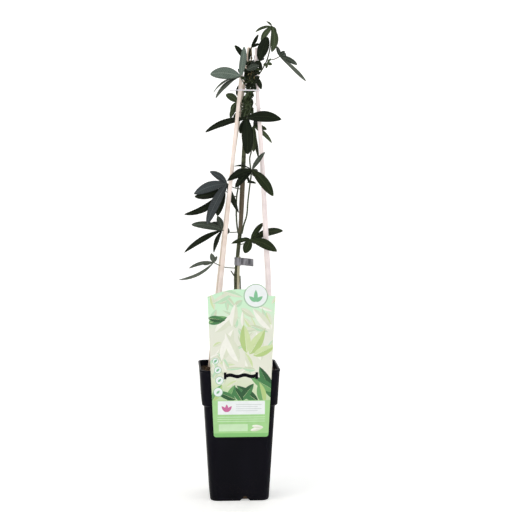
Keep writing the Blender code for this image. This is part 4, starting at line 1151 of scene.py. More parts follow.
# %% The stem tree: ridges and facets
fine = chain(tree, NUMBERS, 1.0, ("DIVIDE", given["Ridge width"]))
coarse = chain(tree, NUMBERS, 1.0, ("DIVIDE", given["Ridge length"]))
ridges = add(tree, "ShaderNodeCombineXYZ", {"X": fine, "Y": fine, "Z": coarse})
ridge_place = chain(tree, VECTORS, straight, ("MULTIPLY", ridges))
facet_along = chain(tree, VECTORS, along, ("SCALE", FACET_CHANGE))
facet_place = chain(tree, VECTORS, ring_of_point, ("MULTIPLY", FACET_WIDTH), ("ADD", facet_along))
ridge_noise, facet_noise = (
    add(tree, "ShaderNodeTexNoise", {"Vector": place, "W": given["Seed"], "Scale": 1.0, "Detail": detail},
        noise_dimensions="4D") for place, detail in ((ridge_place, 3.0), (facet_place, 0.0)))
ridge_height = chain(tree, NUMBERS, ridge_noise, ("SUBTRACT", 0.5), ("MULTIPLY", given["Relief"]))
facet_height = chain(tree, NUMBERS, facet_noise, ("SUBTRACT", 0.5), ("MULTIPLY", given["Facets"]),
                     ("MULTIPLY", radius))
height = chain(tree, NUMBERS, ridge_height, ("ADD", facet_height))
outward = add(tree, "GeometryNodeInputNormal")
push = chain(tree, VECTORS, outward, ("SCALE", height))
stem = add(tree, "GeometryNodeSetPosition", {"Geometry": stem, "Offset": push})
stem = add(tree, "GeometryNodeSetShadeSmooth", {"Geometry": stem, "Shade Smooth": True})
stem = add(tree, "GeometryNodeRealizeInstances", {"Geometry": stem})
add(tree, "GeometryNodeSetMaterial", {"Geometry": stem, "Material": given["Bark"]}, to=grown)
print("stem tree:", len(tree.nodes), "nodes")


# %% Functions that grow stems
def guide_mesh(name, points, edges, attributes):
    """Points and edges that carry numbers or vectors for a tree to read."""
    mesh = bpy.data.meshes.new(name)
    mesh.from_pydata([point * MM for point in points], edges, [])
    for label, values in attributes.items():
        if isinstance(values[0], Vector):
            layer = mesh.attributes.new(label, "FLOAT_VECTOR", "POINT")
            layer.data.foreach_set("vector", [number for value in values for number in value])
        else:
            layer = mesh.attributes.new(label, "FLOAT", "POINT")
            layer.data.foreach_set("value", values)
    return mesh


def grow_stems(name, lines, values):
    """Grows every path of a list into one piece."""
    points, edges, radii = [], [], []
    for line in lines:
        edges += [(len(points) + i, len(points) + i + 1) for i in range(len(line) - 1)]
        points += [point for point, _ in line]
        radii += [radius * MM for _, radius in line]
    guide = guide_mesh(name + "_guide", points, edges, {"radius": radii})
    return run_tree(stem_tree, name, guide, values)


# %% [markdown]
# ## Bark, cane and stalk
#
# The main stem is young wood: olive at the bottom, browner where the old leaves stood, with fine
# grey furrows. It scatters light like dry wood, so it is rough, and its ridges are real relief. A
# cane is split bamboo: pale cream with straight fibres about half a millimetre wide. The stalks are
# green and smooth.

# %% Young bark
FURROW_WIDTH = 1.1  # mm, across the stem
FURROW_LENGTH = 9.17
PATCH_SIZE = 16.7  # where brown gives way to olive
BROWN_MIDDLE = 452  # mm up, where the old leaves stood
BROWN_SHARE = 0.85
bark, tree, shader, furrows, tone = streaked_material(
    "young_woody_bark", [(0.32, "22261a"), (0.72, "5b6045")], FURROW_WIDTH, 4.0,
    length=FURROW_LENGTH, on_stem=True, Roughness=0.72, IOR=1.5, Specular_IOR_Level=0.3)
place = add(tree, "ShaderNodeTexCoord", out=3)
patches = add(tree, "ShaderNodeTexNoise", {"Vector": place, "Scale": per_metre(PATCH_SIZE), "Detail": 3.0})
height = add(tree, "ShaderNodeSeparateXYZ", {"Vector": place}, out=2)
off_middle = chain(tree, NUMBERS, height, ("SUBTRACT", BROWN_MIDDLE * MM), ("ABSOLUTE",))
off_middle = chain(tree, NUMBERS, patches, ("MULTIPLY_ADD", -0.06, off_middle))
brown = add(tree, "ShaderNodeMapRange", {"Value": off_middle, "From Min": -0.005, "From Max": 0.02,
                                         "To Min": BROWN_SHARE, "To Max": 0.0})
add(tree, "ShaderNodeMix", {"Factor": brown, "A": tone, "B": linear("5e5042")},
    to=shader["Base Color"], data_type="RGBA")
add(tree, "ShaderNodeBump", {"Height": furrows, "Strength": 0.5, "Distance": 0.3 * MM}, to=shader["Normal"])
print("bark furrows every", FURROW_WIDTH, "mm")

# %% Split cane
FIBRE_WIDTH = 0.55  # mm
FIBRE_LENGTH = 36.7
BLUSH_WIDTH = 16.7
BLUSH_LENGTH = 111
# cane: its darkest and lightest fibres, and the blush that lies over them. The tones differ from
# cane to cane partly as painted light: the right cane's pinkish white is partly a painted highlight,
# and the back cane's darker tones are painted shade.
CANE_TONES_WITH_PAINTED_LIGHT = {"cane_left": ("bfac9b", "faeeea", "f2e2d8"), "cane_right": ("d2c4c3", "fbf0f0", "f5e8e8"),
              "cane_back": ("bba894", "f1e5da", "e5d6c7")}


def cane_skin(name, dark, light, blush_colour):
    """Split bamboo: straight fibres, a slow blush and a little relief."""
    made, tree, shader, fibres, tone = streaked_material(
        "split_bamboo_" + name, [(0.3, dark), (0.68, light)], FIBRE_WIDTH, 3.0,
        length=FIBRE_LENGTH, on_stem=True, Roughness=0.55, IOR=1.5, Specular_IOR_Level=0.3)
    grain = add(tree, "ShaderNodeAttribute", out=1, attribute_name="straight")
    slow = chain(tree, VECTORS, grain, ("MULTIPLY", (1.0, 1.0, BLUSH_WIDTH / BLUSH_LENGTH)))
    blush = add(tree, "ShaderNodeTexNoise", {"Vector": slow, "Scale": per_metre(BLUSH_WIDTH), "Detail": 1.0})
    blush = add(tree, "ShaderNodeMapRange",
                {"Value": blush, "From Min": 0.4, "From Max": 0.65, "To Max": 0.6})
    add(tree, "ShaderNodeMix", {"Factor": blush, "A": tone, "B": linear(blush_colour)},
        to=shader["Base Color"], data_type="RGBA")
    add(tree, "ShaderNodeBump", {"Height": fibres, "Strength": 0.35, "Distance": 0.15 * MM},
        to=shader["Normal"])
    return made


print("cane fibres every", FIBRE_WIDTH, "mm")

# %% Weathered splint, green stalk and dry tendril
SPLINT_FIBRE_LENGTH = 18.3  # mm, broken up by the weather
STALK_STREAK = 1.11
STALK_STREAK_LENGTH = 11.1
TENDRIL_PATCH = 4.17
splint_skin = streaked_material(
    "weathered_cane", [(0, "8d8668"), (1, "cdc7ae")], FIBRE_WIDTH, 3.0,
    length=SPLINT_FIBRE_LENGTH, on_stem=True, Roughness=0.75, IOR=1.5, Specular_IOR_Level=0.3)[0]
stalk_skin = streaked_material(
    "green_stalk_skin", [(0, "24281c"), (1, "525c41")], STALK_STREAK, 2.0,
    length=STALK_STREAK_LENGTH, on_stem=True, Roughness=0.45, IOR=1.45, Specular_IOR_Level=0.35)[0]
dry_skin = streaked_material(
    "dry_tendril", [(0.4, "3a3222"), (0.6, "8c7d5a")], TENDRIL_PATCH, 2.0,
    Roughness=0.7, IOR=1.45, Specular_IOR_Level=0.2)[0]
print("made", splint_skin.name + ",", stalk_skin.name, "and", dry_skin.name)

# %% Grow the canes
CANE_VALUES = {"Step": 3 * MM, "Sides": 28, "Flatness": 0.92, "Relief": 0.25 * MM,
               "Ridge width": 1.2 * MM, "Ridge length": 60 * MM, "Facets": 0.35}
SPLINT_VALUES = {"Step": 3 * MM, "Sides": 20, "Flatness": 0.9, "Relief": 0.2 * MM,
                 "Ridge width": 0.8 * MM, "Ridge length": 40 * MM, "Facets": 0.3}
for number, name in enumerate(CANES):
    skin = cane_skin(name, *CANE_TONES_WITH_PAINTED_LIGHT[name])
    cane = grow_stems("split_" + name, [paths[name]], dict(CANE_VALUES, Seed=float(number), Bark=skin))
    dress(cane, "cane", name)
splint = grow_stems("stem_splint", [paths["splint"]], dict(SPLINT_VALUES, Seed=5.0, Bark=splint_skin))
dress(splint, "splint", "splint")

# %% [markdown]
# ## Leaves
#
# A leaf has three to six blades that spread from one joint like fingers. Each leaf is written as the
# stem it grows on, the height where its stalk leaves it, the joint, and its blades: a clock angle
# seen from the front, length, width, lean towards the front, roll about the midrib and, where the
# midrib bends sideways too, how far, in lengths.

# %% Leaves, as measured on the plant
LEAVES = {
    "leaf_grey": ("main_stem", 634, (2.3, -22, 649), [
        (-86, 46, 18.5, 5, 0), (9, 46, 12.5, -2, 20), (-132, 51, 12, 8, 60), (-119, 48, 9.5, 2, 62)]),
    "leaf_crown_right": ("main_stem", 660, (31.8, -10.5, 674), [
        (20, 39, 17, -3, 0), (50, 22, 9, -60, 0), (170, 16, 7, 20, 30)]),
    "leaf_between_canes": ("main_stem", 648, (20.5, -0.5, 695), [
        (29, 23, 7, 0, 30), (64, 14, 5, -10, 30), (-172, 20, 6, -10, 40)]),
    "leaf_bud": ("main_stem", 668, (44.4, -4, 670), [
        (-110, 6, 4, 0, 20), (100, 8, 5, 10, 0), (35, 10, 4, 5, 30), (-170, 7, 4, 0, 0)]),
    "leaf_top": ("main_stem", 712, (52.1, -3, 727), [
        (-109, 27, 6, 3, 40), (-142, 28, 9, 0, 0), (180, 39, 11.5, 6, 0, -0.1), (-46, 12, 4, -9, 30),
        (150, 20, 8, -50, 0)]),
    "leaf_reach_right": ("main_stem", 676, (64.8, 2, 682), [
        (133, 55, 8, 2, 60), (117, 30, 8, 13, 25), (-19, 16, 6, 7, 0), (42, 11, 6, 0, 0),
        (80, 20, 9, -55, 10)]),
    "leaf_small_left": ("main_stem", 600, (-1.2, -2, 612), [
        (-58, 21, 11.5, 6, 0), (-146, 19, 7, 6, 20), (-157, 28, 8, -14, 10)]),
    "leaf_spread": ("main_stem", 580, (12.4, -9, 586), [
        (-108, 67, 10, -8, 0), (92, 54, 17, 12, 0), (178, 55, 18.5, 6, 0), (-157, 25, 10, -6, 0)]),
    "leaf_behind_right": ("main_stem", 566, (24.2, 8, 575), [
        (104, 22, 8, -10, 20), (131, 40, 7, -8, 0), (170, 52, 8, 0, 40), (180, 40, 10, 8, 10),
        (45, 26, 10, -55, 0)]),
    "leaf_middle": ("main_stem", 498, (20.5, -15, 507), [
        (36, 34, 7.5, 2, 10), (141, 52, 15.5, 10, 0), (-113, 45, 12, 22, 0), (-78, 29, 7, 17, 65),
        (-136, 37, 11, 6, 0)]),
    "leaf_blue": ("main_stem", 478, (-17.2, -4, 486), [
        (-55, 33, 11, 7, 0), (-107, 54, 16, 6, 0), (-153, 70, 15, 10, 15), (160, 48, 12, 7, 40)]),
    "leaf_shadow": ("side_stem_left", 466, (-21, 9, 476.5), [
        (-122, 73, 11, 0, 0, -0.17), (-165, 42, 13, -3, 0), (-103, 48, 13, -8, 10, -0.12),
        (-60, 30, 11, -45, 0)]),
    "leaf_low_left": ("main_stem", 411, (-25, -5, 414.5), [
        (-80, 48, 12, 4, 0), (-18, 23, 10, 3, 0), (-119, 68, 11, 3, 40, -0.06), (-159, 37, 9, 2, 40),
        (-60, 30, 10, -50, 0)]),
    "leaf_lowest": ("main_stem", 355, (-38.2, 0, 364), [
        (-15, 15, 8, 8, 0), (30, 11, 5, 0, 0), (-103, 39, 6, 3, 20), (-116, 60, 5, 0, 0, -0.16),
        (-110, 26, 6, -50, 0)]),
    "leaf_right": ("main_stem", 392, (18.5, -13, 400), [
        (41, 38, 8.5, -27, 0), (78, 67, 12, -34, 0), (114, 45, 15, 13, 0), (-156, 23, 14, 10, 0),
        (-101, 31, 7, 11, 0)]),
    "leaf_back_high": ("main_stem", 560, (14, 24, 589), [
        (-109, 50, 8, -35, 0), (92, 56, 14, -35, 0), (175, 56, 15, -35, 0), (178, 30, 12, -66, 0)]),
    "leaf_back_middle": ("main_stem", 498, (23, 25, 508), [
        (141, 50, 13, -35, 0), (-113, 42, 13, -35, 0), (39, 27, 7, -35, 0), (141, 30, 12, -66, 0)]),
    "leaf_back_low": ("main_stem", 400, (21, 26, 398), [
        (113, 40, 12, -35, 0), (77, 42, 10, -42, 0), (44, 26, 8, -50, 0), (-153, 22, 10, -42, 0),
        (-99, 20, 7, -42, 0), (116, 30, 12, -66, 0)]),
}
# kind of each leaf's blades: one for all, or one for each where they differ
# a kind sets painted sheen, light or shade along with the leaf's colour
KINDS_OF_LEAF = {
    "leaf_grey": ["grey", "grey", "slate", "slate"], "leaf_reach_right": ["slate", "sage"],
    "leaf_bud": ["young"], "leaf_small_left": ["young"], "leaf_top": ["young"],
    "leaf_lowest": ["slate"], "leaf_blue": ["blue", "blue", "blue", "dark"],
    "leaf_middle": ["sage", "mid", "dark"], "leaf_right": ["mid"],
    "leaf_low_left": ["sage", "sage", "dark"], "leaf_back_middle": ["mid"],
    "leaf_behind_right": ["mid", "young", "mid", "young", "dark"], "leaf_back_low": ["mid", "dark"],
}

# %% [markdown]
# ## A tree that grows blades by one rule
#
# The outline of a blade is a blunted sine, a little fuller towards the tip, its midrib bows up, and
# its two halves fold up from the midrib. Because every blade follows the same rule, a Geometry Nodes
# tree grows them all from a cloud of points, one for each blade: it puts a thin closed cell on each
# point, then moves every corner of the cell to its place on the blade. The points carry each blade's
# directions and sizes.

# %% Blade rule values
BLADE_BULGE = 1.05  # over 1 moves the widest place towards the tip
BLADE_BLUNTNESS = 0.66  # under 1 rounds the tip
BLADE_BOW = 0.07  # how far the midrib bows up, in lengths
BLADE_FORWARD = 0.5  # how much of that bow is towards the blade's face
BLADE_FOLD = 0.16  # how far the edges stand out of the midrib's plane, in half widths
BLADE_THICKNESS = 0.55
LEAST_HALF = 0.45  # half width of the foot and the tip


def blade_frame(clock, lean, roll):
    """The direction of a blade, the way its face looks and the way across it."""
    clock, lean, roll = (math.radians(angle) for angle in (clock, lean, roll))
    along = Vector((math.sin(clock) * math.cos(lean), -math.sin(lean), math.cos(clock) * math.cos(lean)))
    face = (FRONT - FRONT.dot(along) * along).normalized()
    face.rotate(Matrix.Rotation(roll, 3, along))
    return along, face, along.cross(face)


# %% The blade tree: a closed cell on every point
blade_tree, given, grown = start_tree("blades_by_one_rule", {
    "Rows": "Int", "Across": "Int", "Bulge": "Float", "Thickness": "Float", "Fold": "Float",
    "Least half": "Float", "Midrib width": "Float", "Midrib depth": "Float", "Ripple": "Float",
    "Upper side": "Material", "Underside": "Material"})
tree = blade_tree
grid = add(tree, "GeometryNodeMeshGrid",
           {"Size X": 1.0, "Size Y": 2.0, "Vertices X": given["Rows"], "Vertices Y": given["Across"]})
flipped = add(tree, "GeometryNodeFlipFaces", {"Mesh": grid})
corner = add(tree, "GeometryNodeInputPosition")
corner_x, corner_y, corner_z = (
    add(tree, "ShaderNodeSeparateXYZ", {"Vector": corner}, out=axis) for axis in range(3))
raw = chain(tree, NUMBERS, corner_x, ("ADD", 0.5))
square = chain(tree, NUMBERS, raw, ("MULTIPLY", raw))
ends = chain(tree, NUMBERS, raw, ("SUBTRACT", square))
square = chain(tree, NUMBERS, corner_y, ("MULTIPLY", corner_y))
sides = chain(tree, NUMBERS, 1.0, ("SUBTRACT", square))
lens = chain(tree, NUMBERS, ends, ("MULTIPLY", sides))
lens_up = add(tree, "ShaderNodeCombineXYZ", {"Z": lens})
lens_down = chain(tree, VECTORS, lens_up, ("SCALE", -1.0))
halves = []
for sheet, mark, offset in ((grid, -1.0, lens_up), (flipped, 1.0, lens_down)):
    sheet = add(tree, "GeometryNodeStoreNamedAttribute",
                {"Geometry": sheet, "Name": "underside", "Value": mark}, data_type="FLOAT", domain="FACE")
    halves.append(add(tree, "GeometryNodeSetPosition", {"Geometry": sheet, "Offset": offset}))
cell = add(tree, "GeometryNodeJoinGeometry", {"Geometry": halves})
cell = add(tree, "GeometryNodeMergeByDistance", {"Geometry": cell, "Distance": MERGE_DISTANCE})
even = chain(tree, NUMBERS, raw, ("MULTIPLY", math.pi), ("COSINE",), ("MULTIPLY_ADD", -0.5, 0.5))
skin_side = chain(tree, NUMBERS, corner_z, ("SIGN",))
place_in_cell = add(tree, "ShaderNodeCombineXYZ", {"X": even, "Y": corner_y, "Z": skin_side})
cell = add(tree, "GeometryNodeStoreNamedAttribute",
           {"Geometry": cell, "Name": "cell", "Value": place_in_cell}, **VECTOR_ON_POINTS)
cells = add(tree, "GeometryNodeInstanceOnPoints", {"Points": given["Geometry"], "Instance": cell})
cells = add(tree, "GeometryNodeRealizeInstances", {"Geometry": cells})

# %% The blade tree: what each point carries
of_cell, of_size, of_turn, along, face, bow, foot = (
    add(tree, "GeometryNodeInputNamedAttribute", {"Name": name}, data_type="FLOAT_VECTOR")
    for name in ("cell", "size", "turn", "along", "face", "bow", "foot"))
(t, across, skin_side), (length, width, bluntness), (twist, curl, phase) = (
    [add(tree, "ShaderNodeSeparateXYZ", {"Vector": vector}, out=axis) for axis in range(3)]
    for vector in (of_cell, of_size, of_turn))

# %% The blade tree: its half width
swell = chain(tree, NUMBERS, t, ("POWER", given["Bulge"]), ("MULTIPLY", math.pi), ("SINE",),
              ("MAXIMUM", 0.0), ("POWER", bluntness))
half = chain(tree, NUMBERS, width, ("MULTIPLY", 0.5), ("MULTIPLY", swell), ("MAXIMUM", given["Least half"]))
sideways = chain(tree, NUMBERS, half, ("MULTIPLY", across))
outwards = chain(tree, NUMBERS, sideways, ("ABSOLUTE",))

# %% The blade tree: fold, midrib, thickness and ripple, all measured off the blade's plane
RIPPLE_RUN = 11.0  # radians of the ripple along a blade
RIPPLE_ACROSS = 2.0
near_rib = chain(tree, NUMBERS, sideways, ("DIVIDE", given["Midrib width"]))
near_rib = chain(tree, NUMBERS, near_rib, ("MULTIPLY", near_rib), ("MULTIPLY", -1.0), ("EXPONENT",))
groove = chain(tree, NUMBERS, near_rib, ("MULTIPLY", given["Midrib depth"]))
skin = chain(tree, NUMBERS, given["Thickness"], ("MULTIPLY", 0.5), ("MULTIPLY", skin_side))
wave = chain(tree, NUMBERS, t, ("MULTIPLY_ADD", RIPPLE_RUN, phase))
wave = chain(tree, NUMBERS, across, ("MULTIPLY_ADD", RIPPLE_ACROSS, wave), ("SINE",),
             ("MULTIPLY", given["Ripple"]), ("MULTIPLY", outwards))
droop = chain(tree, NUMBERS, t, ("POWER", 3.0), ("MULTIPLY", curl), ("MULTIPLY", length))
lift = chain(tree, NUMBERS, outwards, ("MULTIPLY", given["Fold"]), ("SUBTRACT", groove), ("ADD", skin),
             ("ADD", wave), ("SUBTRACT", droop))

# %% The blade tree: every corner to its place
angle = chain(tree, NUMBERS, twist, ("MULTIPLY", t))
turned_face = add(tree, "ShaderNodeVectorRotate", {"Vector": face, "Axis": along, "Angle": angle},
                  rotation_type="AXIS_ANGLE")
side = chain(tree, VECTORS, along, ("CROSS_PRODUCT", turned_face))
run = chain(tree, NUMBERS, t, ("MULTIPLY", length))
arch = chain(tree, NUMBERS, 1.0, ("SUBTRACT", t), ("MULTIPLY", t), ("MULTIPLY", 4.0))
spot = chain(tree, VECTORS, along, ("SCALE", run))
spot = chain(tree, VECTORS, foot, ("ADD", spot))
for direction, far in ((bow, arch), (side, sideways), (turned_face, lift)):
    step = chain(tree, VECTORS, direction, ("SCALE", far))
    spot = chain(tree, VECTORS, spot, ("ADD", step))
vein_place = add(tree, "ShaderNodeCombineXYZ", {"X": outwards, "Y": run, "Z": half})
blades = add(tree, "GeometryNodeStoreNamedAttribute",
             {"Geometry": cells, "Name": "vein_place", "Value": vein_place}, **VECTOR_ON_POINTS)
blades = add(tree, "GeometryNodeSetPosition", {"Geometry": blades, "Position": spot})
blades = add(tree, "GeometryNodeSetShadeSmooth", {"Geometry": blades, "Shade Smooth": True})
blades = add(tree, "GeometryNodeSetMaterial", {"Geometry": blades, "Material": given["Upper side"]})
is_under = add(tree, "GeometryNodeInputNamedAttribute", {"Name": "underside"}, data_type="FLOAT")
is_under = add(tree, "FunctionNodeCompare", {0: is_under, 1: 0.0}, operation="GREATER_THAN")
add(tree, "GeometryNodeSetMaterial",
    {"Geometry": blades, "Selection": is_under, "Material": given["Underside"]}, to=grown)
print("blade tree:", len(tree.nodes), "nodes")

# %% [markdown]
# ## Leaf skin
#
# The upper side of a passion flower's leaf is a waxy, very dark green with a paler midrib and faint
# side veins that leave it at about fifty degrees. The underside is paler and dull. Leaves that face
# the sky look grey or blue-grey, because their wax catches the light: the grey, slate, blue and sage
# kinds paint that reflection into the colour. The dark, mid and young kinds are lighter or darker
# blade by blade, partly the leaf's own colour and partly painted light and shade. So the plant's
# colours are dealt out leaf by leaf.

# %% Leaf colours
VEIN_SPACING = 3.4  # mm, between side veins
VEIN_SLOPE = 0.8  # how far a side vein runs up the blade for each millimetre sideways
MIDRIB_CORE = 0.15  # mm, half the width of its full colour
MIDRIB_FADE = 0.5
LEAF_MOTTLE = 3.85
# kind: upper side, its veins, underside, roughness of the wax
# grey, slate, blue and sage hold a painted reflection of the sky in the wax; dark, mid and young are partly
# the leaf's own greens, partly painted light and shade
LEAF_COLOURS_AND_PAINTED_LIGHT = {
    "dark": ("12190e", "262f1b", "252e1d", 0.42),
    "mid": ("212a17", "3d472b", "38422c", 0.4),
    "young": ("38432d", "5c674c", "535e45", 0.4),
    "grey": ("66736a", "8b988b", "7a867b", 0.45),
    "sage": ("383f37", "5d655b", "50574d", 0.42),
    "blue": ("3a3f41", "5a6062", "4d5355", 0.4),
    "slate": ("52594f", "70766c", "61675d", 0.5),
}


def leaf_skin(name, body_colour, vein_colour, roughness, vein_strength):
    """A leaf's wax: body colour, midrib and side veins drawn from the blade's own measures."""
    made, tree, shader = start_material(name, IOR=1.45, Roughness=roughness, Specular_IOR_Level=0.1)
    measures = add(tree, "ShaderNodeAttribute", out=1, attribute_name="vein_place")
    outwards, run = (add(tree, "ShaderNodeSeparateXYZ", {"Vector": measures}, out=axis) for axis in (0, 1))
    rib = add(tree, "ShaderNodeMapRange", {"Value": outwards, "From Min": MIDRIB_CORE * MM,
                                           "From Max": MIDRIB_FADE * MM, "To Min": 0.8, "To Max": 0.0})
    side_vein = chain(tree, NUMBERS, outwards, ("MULTIPLY_ADD", -VEIN_SLOPE, run),
                      ("DIVIDE", VEIN_SPACING * MM), ("FRACT",), ("SUBTRACT", 0.5), ("ABSOLUTE",))
    side_vein = add(tree, "ShaderNodeMapRange", {"Value": side_vein, "From Min": 0.02, "From Max": 0.14,
                                                 "To Min": vein_strength, "To Max": 0.0})
    veins = chain(tree, NUMBERS, rib, ("MAXIMUM", side_vein))
    place = add(tree, "ShaderNodeTexCoord", out=3)
    mottle = add(tree, "ShaderNodeTexNoise",
                 {"Vector": place, "Scale": per_metre(LEAF_MOTTLE), "Detail": 3.0})
    light = chain(tree, NUMBERS, mottle, ("MULTIPLY_ADD", 0.5, 0.68))
    tint = add(tree, "ShaderNodeAttribute", out=2, attribute_name="tint")
    light = chain(tree, NUMBERS, tint, ("MULTIPLY_ADD", 0.35, light))
    body = add(tree, VECTORS, {0: linear(body_colour)[:3], "Scale": light}, operation="SCALE")
    add(tree, "ShaderNodeMix", {"Factor": veins, "A": body, "B": linear(vein_colour)},
        to=shader["Base Color"], data_type="RGBA")
    add(tree, "ShaderNodeBump", {"Height": veins, "Strength": 0.35, "Distance": 0.25 * MM},
        to=shader["Normal"])
    return made


leaf_skins = {}
for kind, (upper, vein, under, roughness) in LEAF_COLOURS_AND_PAINTED_LIGHT.items():
    leaf_skins[kind] = (leaf_skin(f"waxy_leaf_{kind}", upper, vein, roughness, 0.4),
                        leaf_skin(f"leaf_underside_{kind}", under, vein, 0.65, 0.6))
print("leaf kinds:", ", ".join(leaf_skins))

# %% [markdown]
# ## Stalks
#
# A stalk leaves its stem at a right angle, sags a little and swells into a knuckle where the blades
# meet. The stalks are paths too, so the stem tree grows them.

# %% Stalk paths
STALK_RADIUS = 0.75
STALK_START = 1.5  # in stalk radii, where it leaves the stem
STALK_SECOND = 1.1
STALK_RUN = 2.5
STALK_SAG = 0.08
STALK_STEPS = 8
KNUCKLE_RADIUS = 1.15
KNUCKLE_REACH = 0.9
KNUCKLE_END = 0.7


def stalk_path(stem, height, joint):
    """A leaf stalk: square off its stem, then a sagging run up to the knuckle at the joint."""
    start, level = leave_stem(stem, height, joint)
    bend = start + level * STALK_RUN
    middle = bend.lerp(joint, 0.5) - UP * STALK_SAG * (joint - bend).length
    run = smooth_path([(*point, STALK_RADIUS) for point in (bend, middle, joint)], STALK_STEPS)
    path = [(start, STALK_RADIUS * STALK_START), (start.lerp(bend, 0.5), STALK_RADIUS * STALK_SECOND)] + run
    ahead = (path[-1][0] - path[-2][0]).normalized()
    return path[:-1] + [(joint, KNUCKLE_RADIUS),
                        (joint + ahead * KNUCKLE_REACH, KNUCKLE_RADIUS * KNUCKLE_END)]


stalks = [stalk_path(paths[stem], height, Vector(joint)) for stem, height, joint, _ in LEAVES.values()]
print("stalks:", len(stalks))

# %% Blades of the leaves
# how the blades differ, each from and to
BLUNTNESS = (0.75, 1.05)
TWIST = (-0.35, 0.35)  # radians at the tip
CURL = (-0.02, 0.05)  # how far the tip bends down, in lengths
PHASE = (0, 6)  # where the ripple starts, in radians
TINT = (-0.5, 0.5)

dice = random.Random(4)


def blade_record(foot, shape):
    """One blade as the numbers that the blade tree reads."""
    clock, length, width, lean, roll, *bend = shape
    along, face, side = blade_frame(clock, lean, roll)
    bow = (UP - UP.dot(along) * along + BLADE_FORWARD * face) * BLADE_BOW
    if bend:
        bow += side * bend[0]
    return {
        "foot": foot * MM, "along": along, "face": face, "bow": bow * length * MM,
        "size": Vector((length * MM, width * MM, BLADE_BLUNTNESS * dice.uniform(*BLUNTNESS))),
        "turn": Vector([dice.uniform(*span) for span in (TWIST, CURL, PHASE)]),
        "tint": dice.uniform(*TINT),
    }


blade_records = {kind: [] for kind in LEAF_COLOURS_AND_PAINTED_LIGHT}
for name, (_, _, joint, blades) in LEAVES.items():
    kinds = KINDS_OF_LEAF.get(name, ["dark"])
    for number, shape in enumerate(blades):
        kind = kinds[min(number, len(kinds) - 1)]
        blade_records[kind].append(blade_record(Vector(joint), shape))
print("blades:", {kind: len(records) for kind, records in blade_records.items()})

# %% [markdown]
# ## Crown tangles
#
# In the crown young shoots twine up the stem with small crowded leaves. Their places can't be
# measured one by one, so a seeded rule grows them: try a blade, and keep it if it stays in the
# tangle's space and clear of the canes. Several shoots share each space and start at even turns.

# %% Tangle rule
# name: lowest and highest z, centre at each end, half widths of its space in x and y, shoots,
# blades, shortest and longest blade, seed
TANGLES = {
    "tangle_lower": (588, 634, (13, 2), (17.4, 2.5), (10.5, 15), 3, 110, (8, 16), 7),
    "tangle_upper": (634, 674, (18.5, -9), (20, -10), (13, 11), 4, 130, (7, 15), 3),
}
# kinds that the blades of a tangle take in turn
# the lower tangle's lighter kinds are partly painted light, where its leaves catch it
KINDS_OF_TANGLE = {"tangle_lower": ["young", "mid", "young", "young", "mid"],
                   "tangle_upper": ["dark", "mid", "dark", "dark", "sage"]}
TWINE_TURNS = 1.4
TWINE_RADIUS = 0.8
TWINE_REACH = 0.42  # how wide a shoot twines, in half widths of its space
TWINE_STEPS = 28
TWINE_INSET = 4
TANGLE_BLADE_WIDTH = 0.42  # in lengths
TANGLE_TRIES = 40
TANGLE_TURN = 50  # degrees, the most a blade leans or rolls
PROBES = 4  # places along a blade that have to be free
BELOW = 6  # mm that a blade may reach under or over its tangle's space
ABOVE = 4
CANE_CLEARANCE = 0.6


def distance_to(path, point):
    """How far a point lies from the surface of a path of (point, radius)."""
    best = math.inf
    for (a, radius_a), (b, radius_b) in zip(path, path[1:]):
        run = b - a
        t = max(0.0, min(1.0, (point - a).dot(run) / run.length_squared))
        best = min(best, (point - a - t * run).length - radius_a - t * (radius_b - radius_a))
    return best


def twine_path(plan, number, stem):
    """One shoot of a tangle: off the main stem, then twining round the middle of its space."""
    low, high, foot_centre, top_centre, (half_x, half_y), shoots, _, _, seed = plan
    foot = Vector((*foot_centre, low))
    top = Vector((*top_centre, high))
    rise = (top - foot).normalized() * TWINE_INSET
    path = []
    for step in range(TWINE_STEPS + 1):
        t = step / TWINE_STEPS
        turn = 2 * math.pi * (TWINE_TURNS * t + number / shoots) + seed
        orbit = Vector((half_x * math.cos(turn), half_y * math.sin(turn), 0)) * TWINE_REACH
        path.append(((foot + rise).lerp(top - rise, t) + orbit, TWINE_RADIUS))
    start, level = leave_stem(stem, low, path[0][0])
    return [(start, TWINE_RADIUS), (start + level, TWINE_RADIUS)] + path


def grow_tangle(plan, limbs, stem):
    """The twines of a tangle and the blades that fit in its space."""
    low, high, foot_centre, top_centre, (half_x, half_y), shoots, count, lengths, seed = plan
    tries = random.Random(seed)
    twines = [twine_path(plan, number, stem) for number in range(shoots)]
    found = []
    for _ in range(count * TANGLE_TRIES):
        if len(found) == count:
            break
        foot = tries.choice(tries.choice(twines)[2:])[0]
        length = tries.uniform(*lengths)
        shape = (tries.uniform(-180, 180), length, TANGLE_BLADE_WIDTH * length,
                 tries.uniform(-TANGLE_TURN, TANGLE_TURN), tries.uniform(-TANGLE_TURN, TANGLE_TURN))
        along = blade_frame(shape[0], shape[3], shape[4])[0]
        probe = [foot + along * length * step / PROBES for step in range(1, PROBES + 1)]
        middles = [Vector(foot_centre).lerp(Vector(top_centre), (point.z - low) / (high - low))
                   for point in probe]
        offs = [point.xy - middle for point, middle in zip(probe, middles)]
        inside = all((off.x / half_x) ** 2 + (off.y / half_y) ** 2 <= 1 for off in offs)
        level = all(low - BELOW <= point.z <= high + ABOVE for point in probe)
        if inside and level and all(distance_to(limb, point) > CANE_CLEARANCE
                                    for limb in limbs for point in probe):
            found.append(blade_record(foot, shape))
    return twines, found


twines = []
cane_paths = [paths[name] for name in CANES if name != "cane_back"]
for name, plan in TANGLES.items():
    shoots, found = grow_tangle(plan, cane_paths, paths["main_stem"])
    twines += shoots
    kinds = KINDS_OF_TANGLE[name]
    for number, record in enumerate(found):
        blade_records[kinds[number % len(kinds)]].append(record)
    print(name, "carries", len(found), "blades on", len(shoots), "shoots")

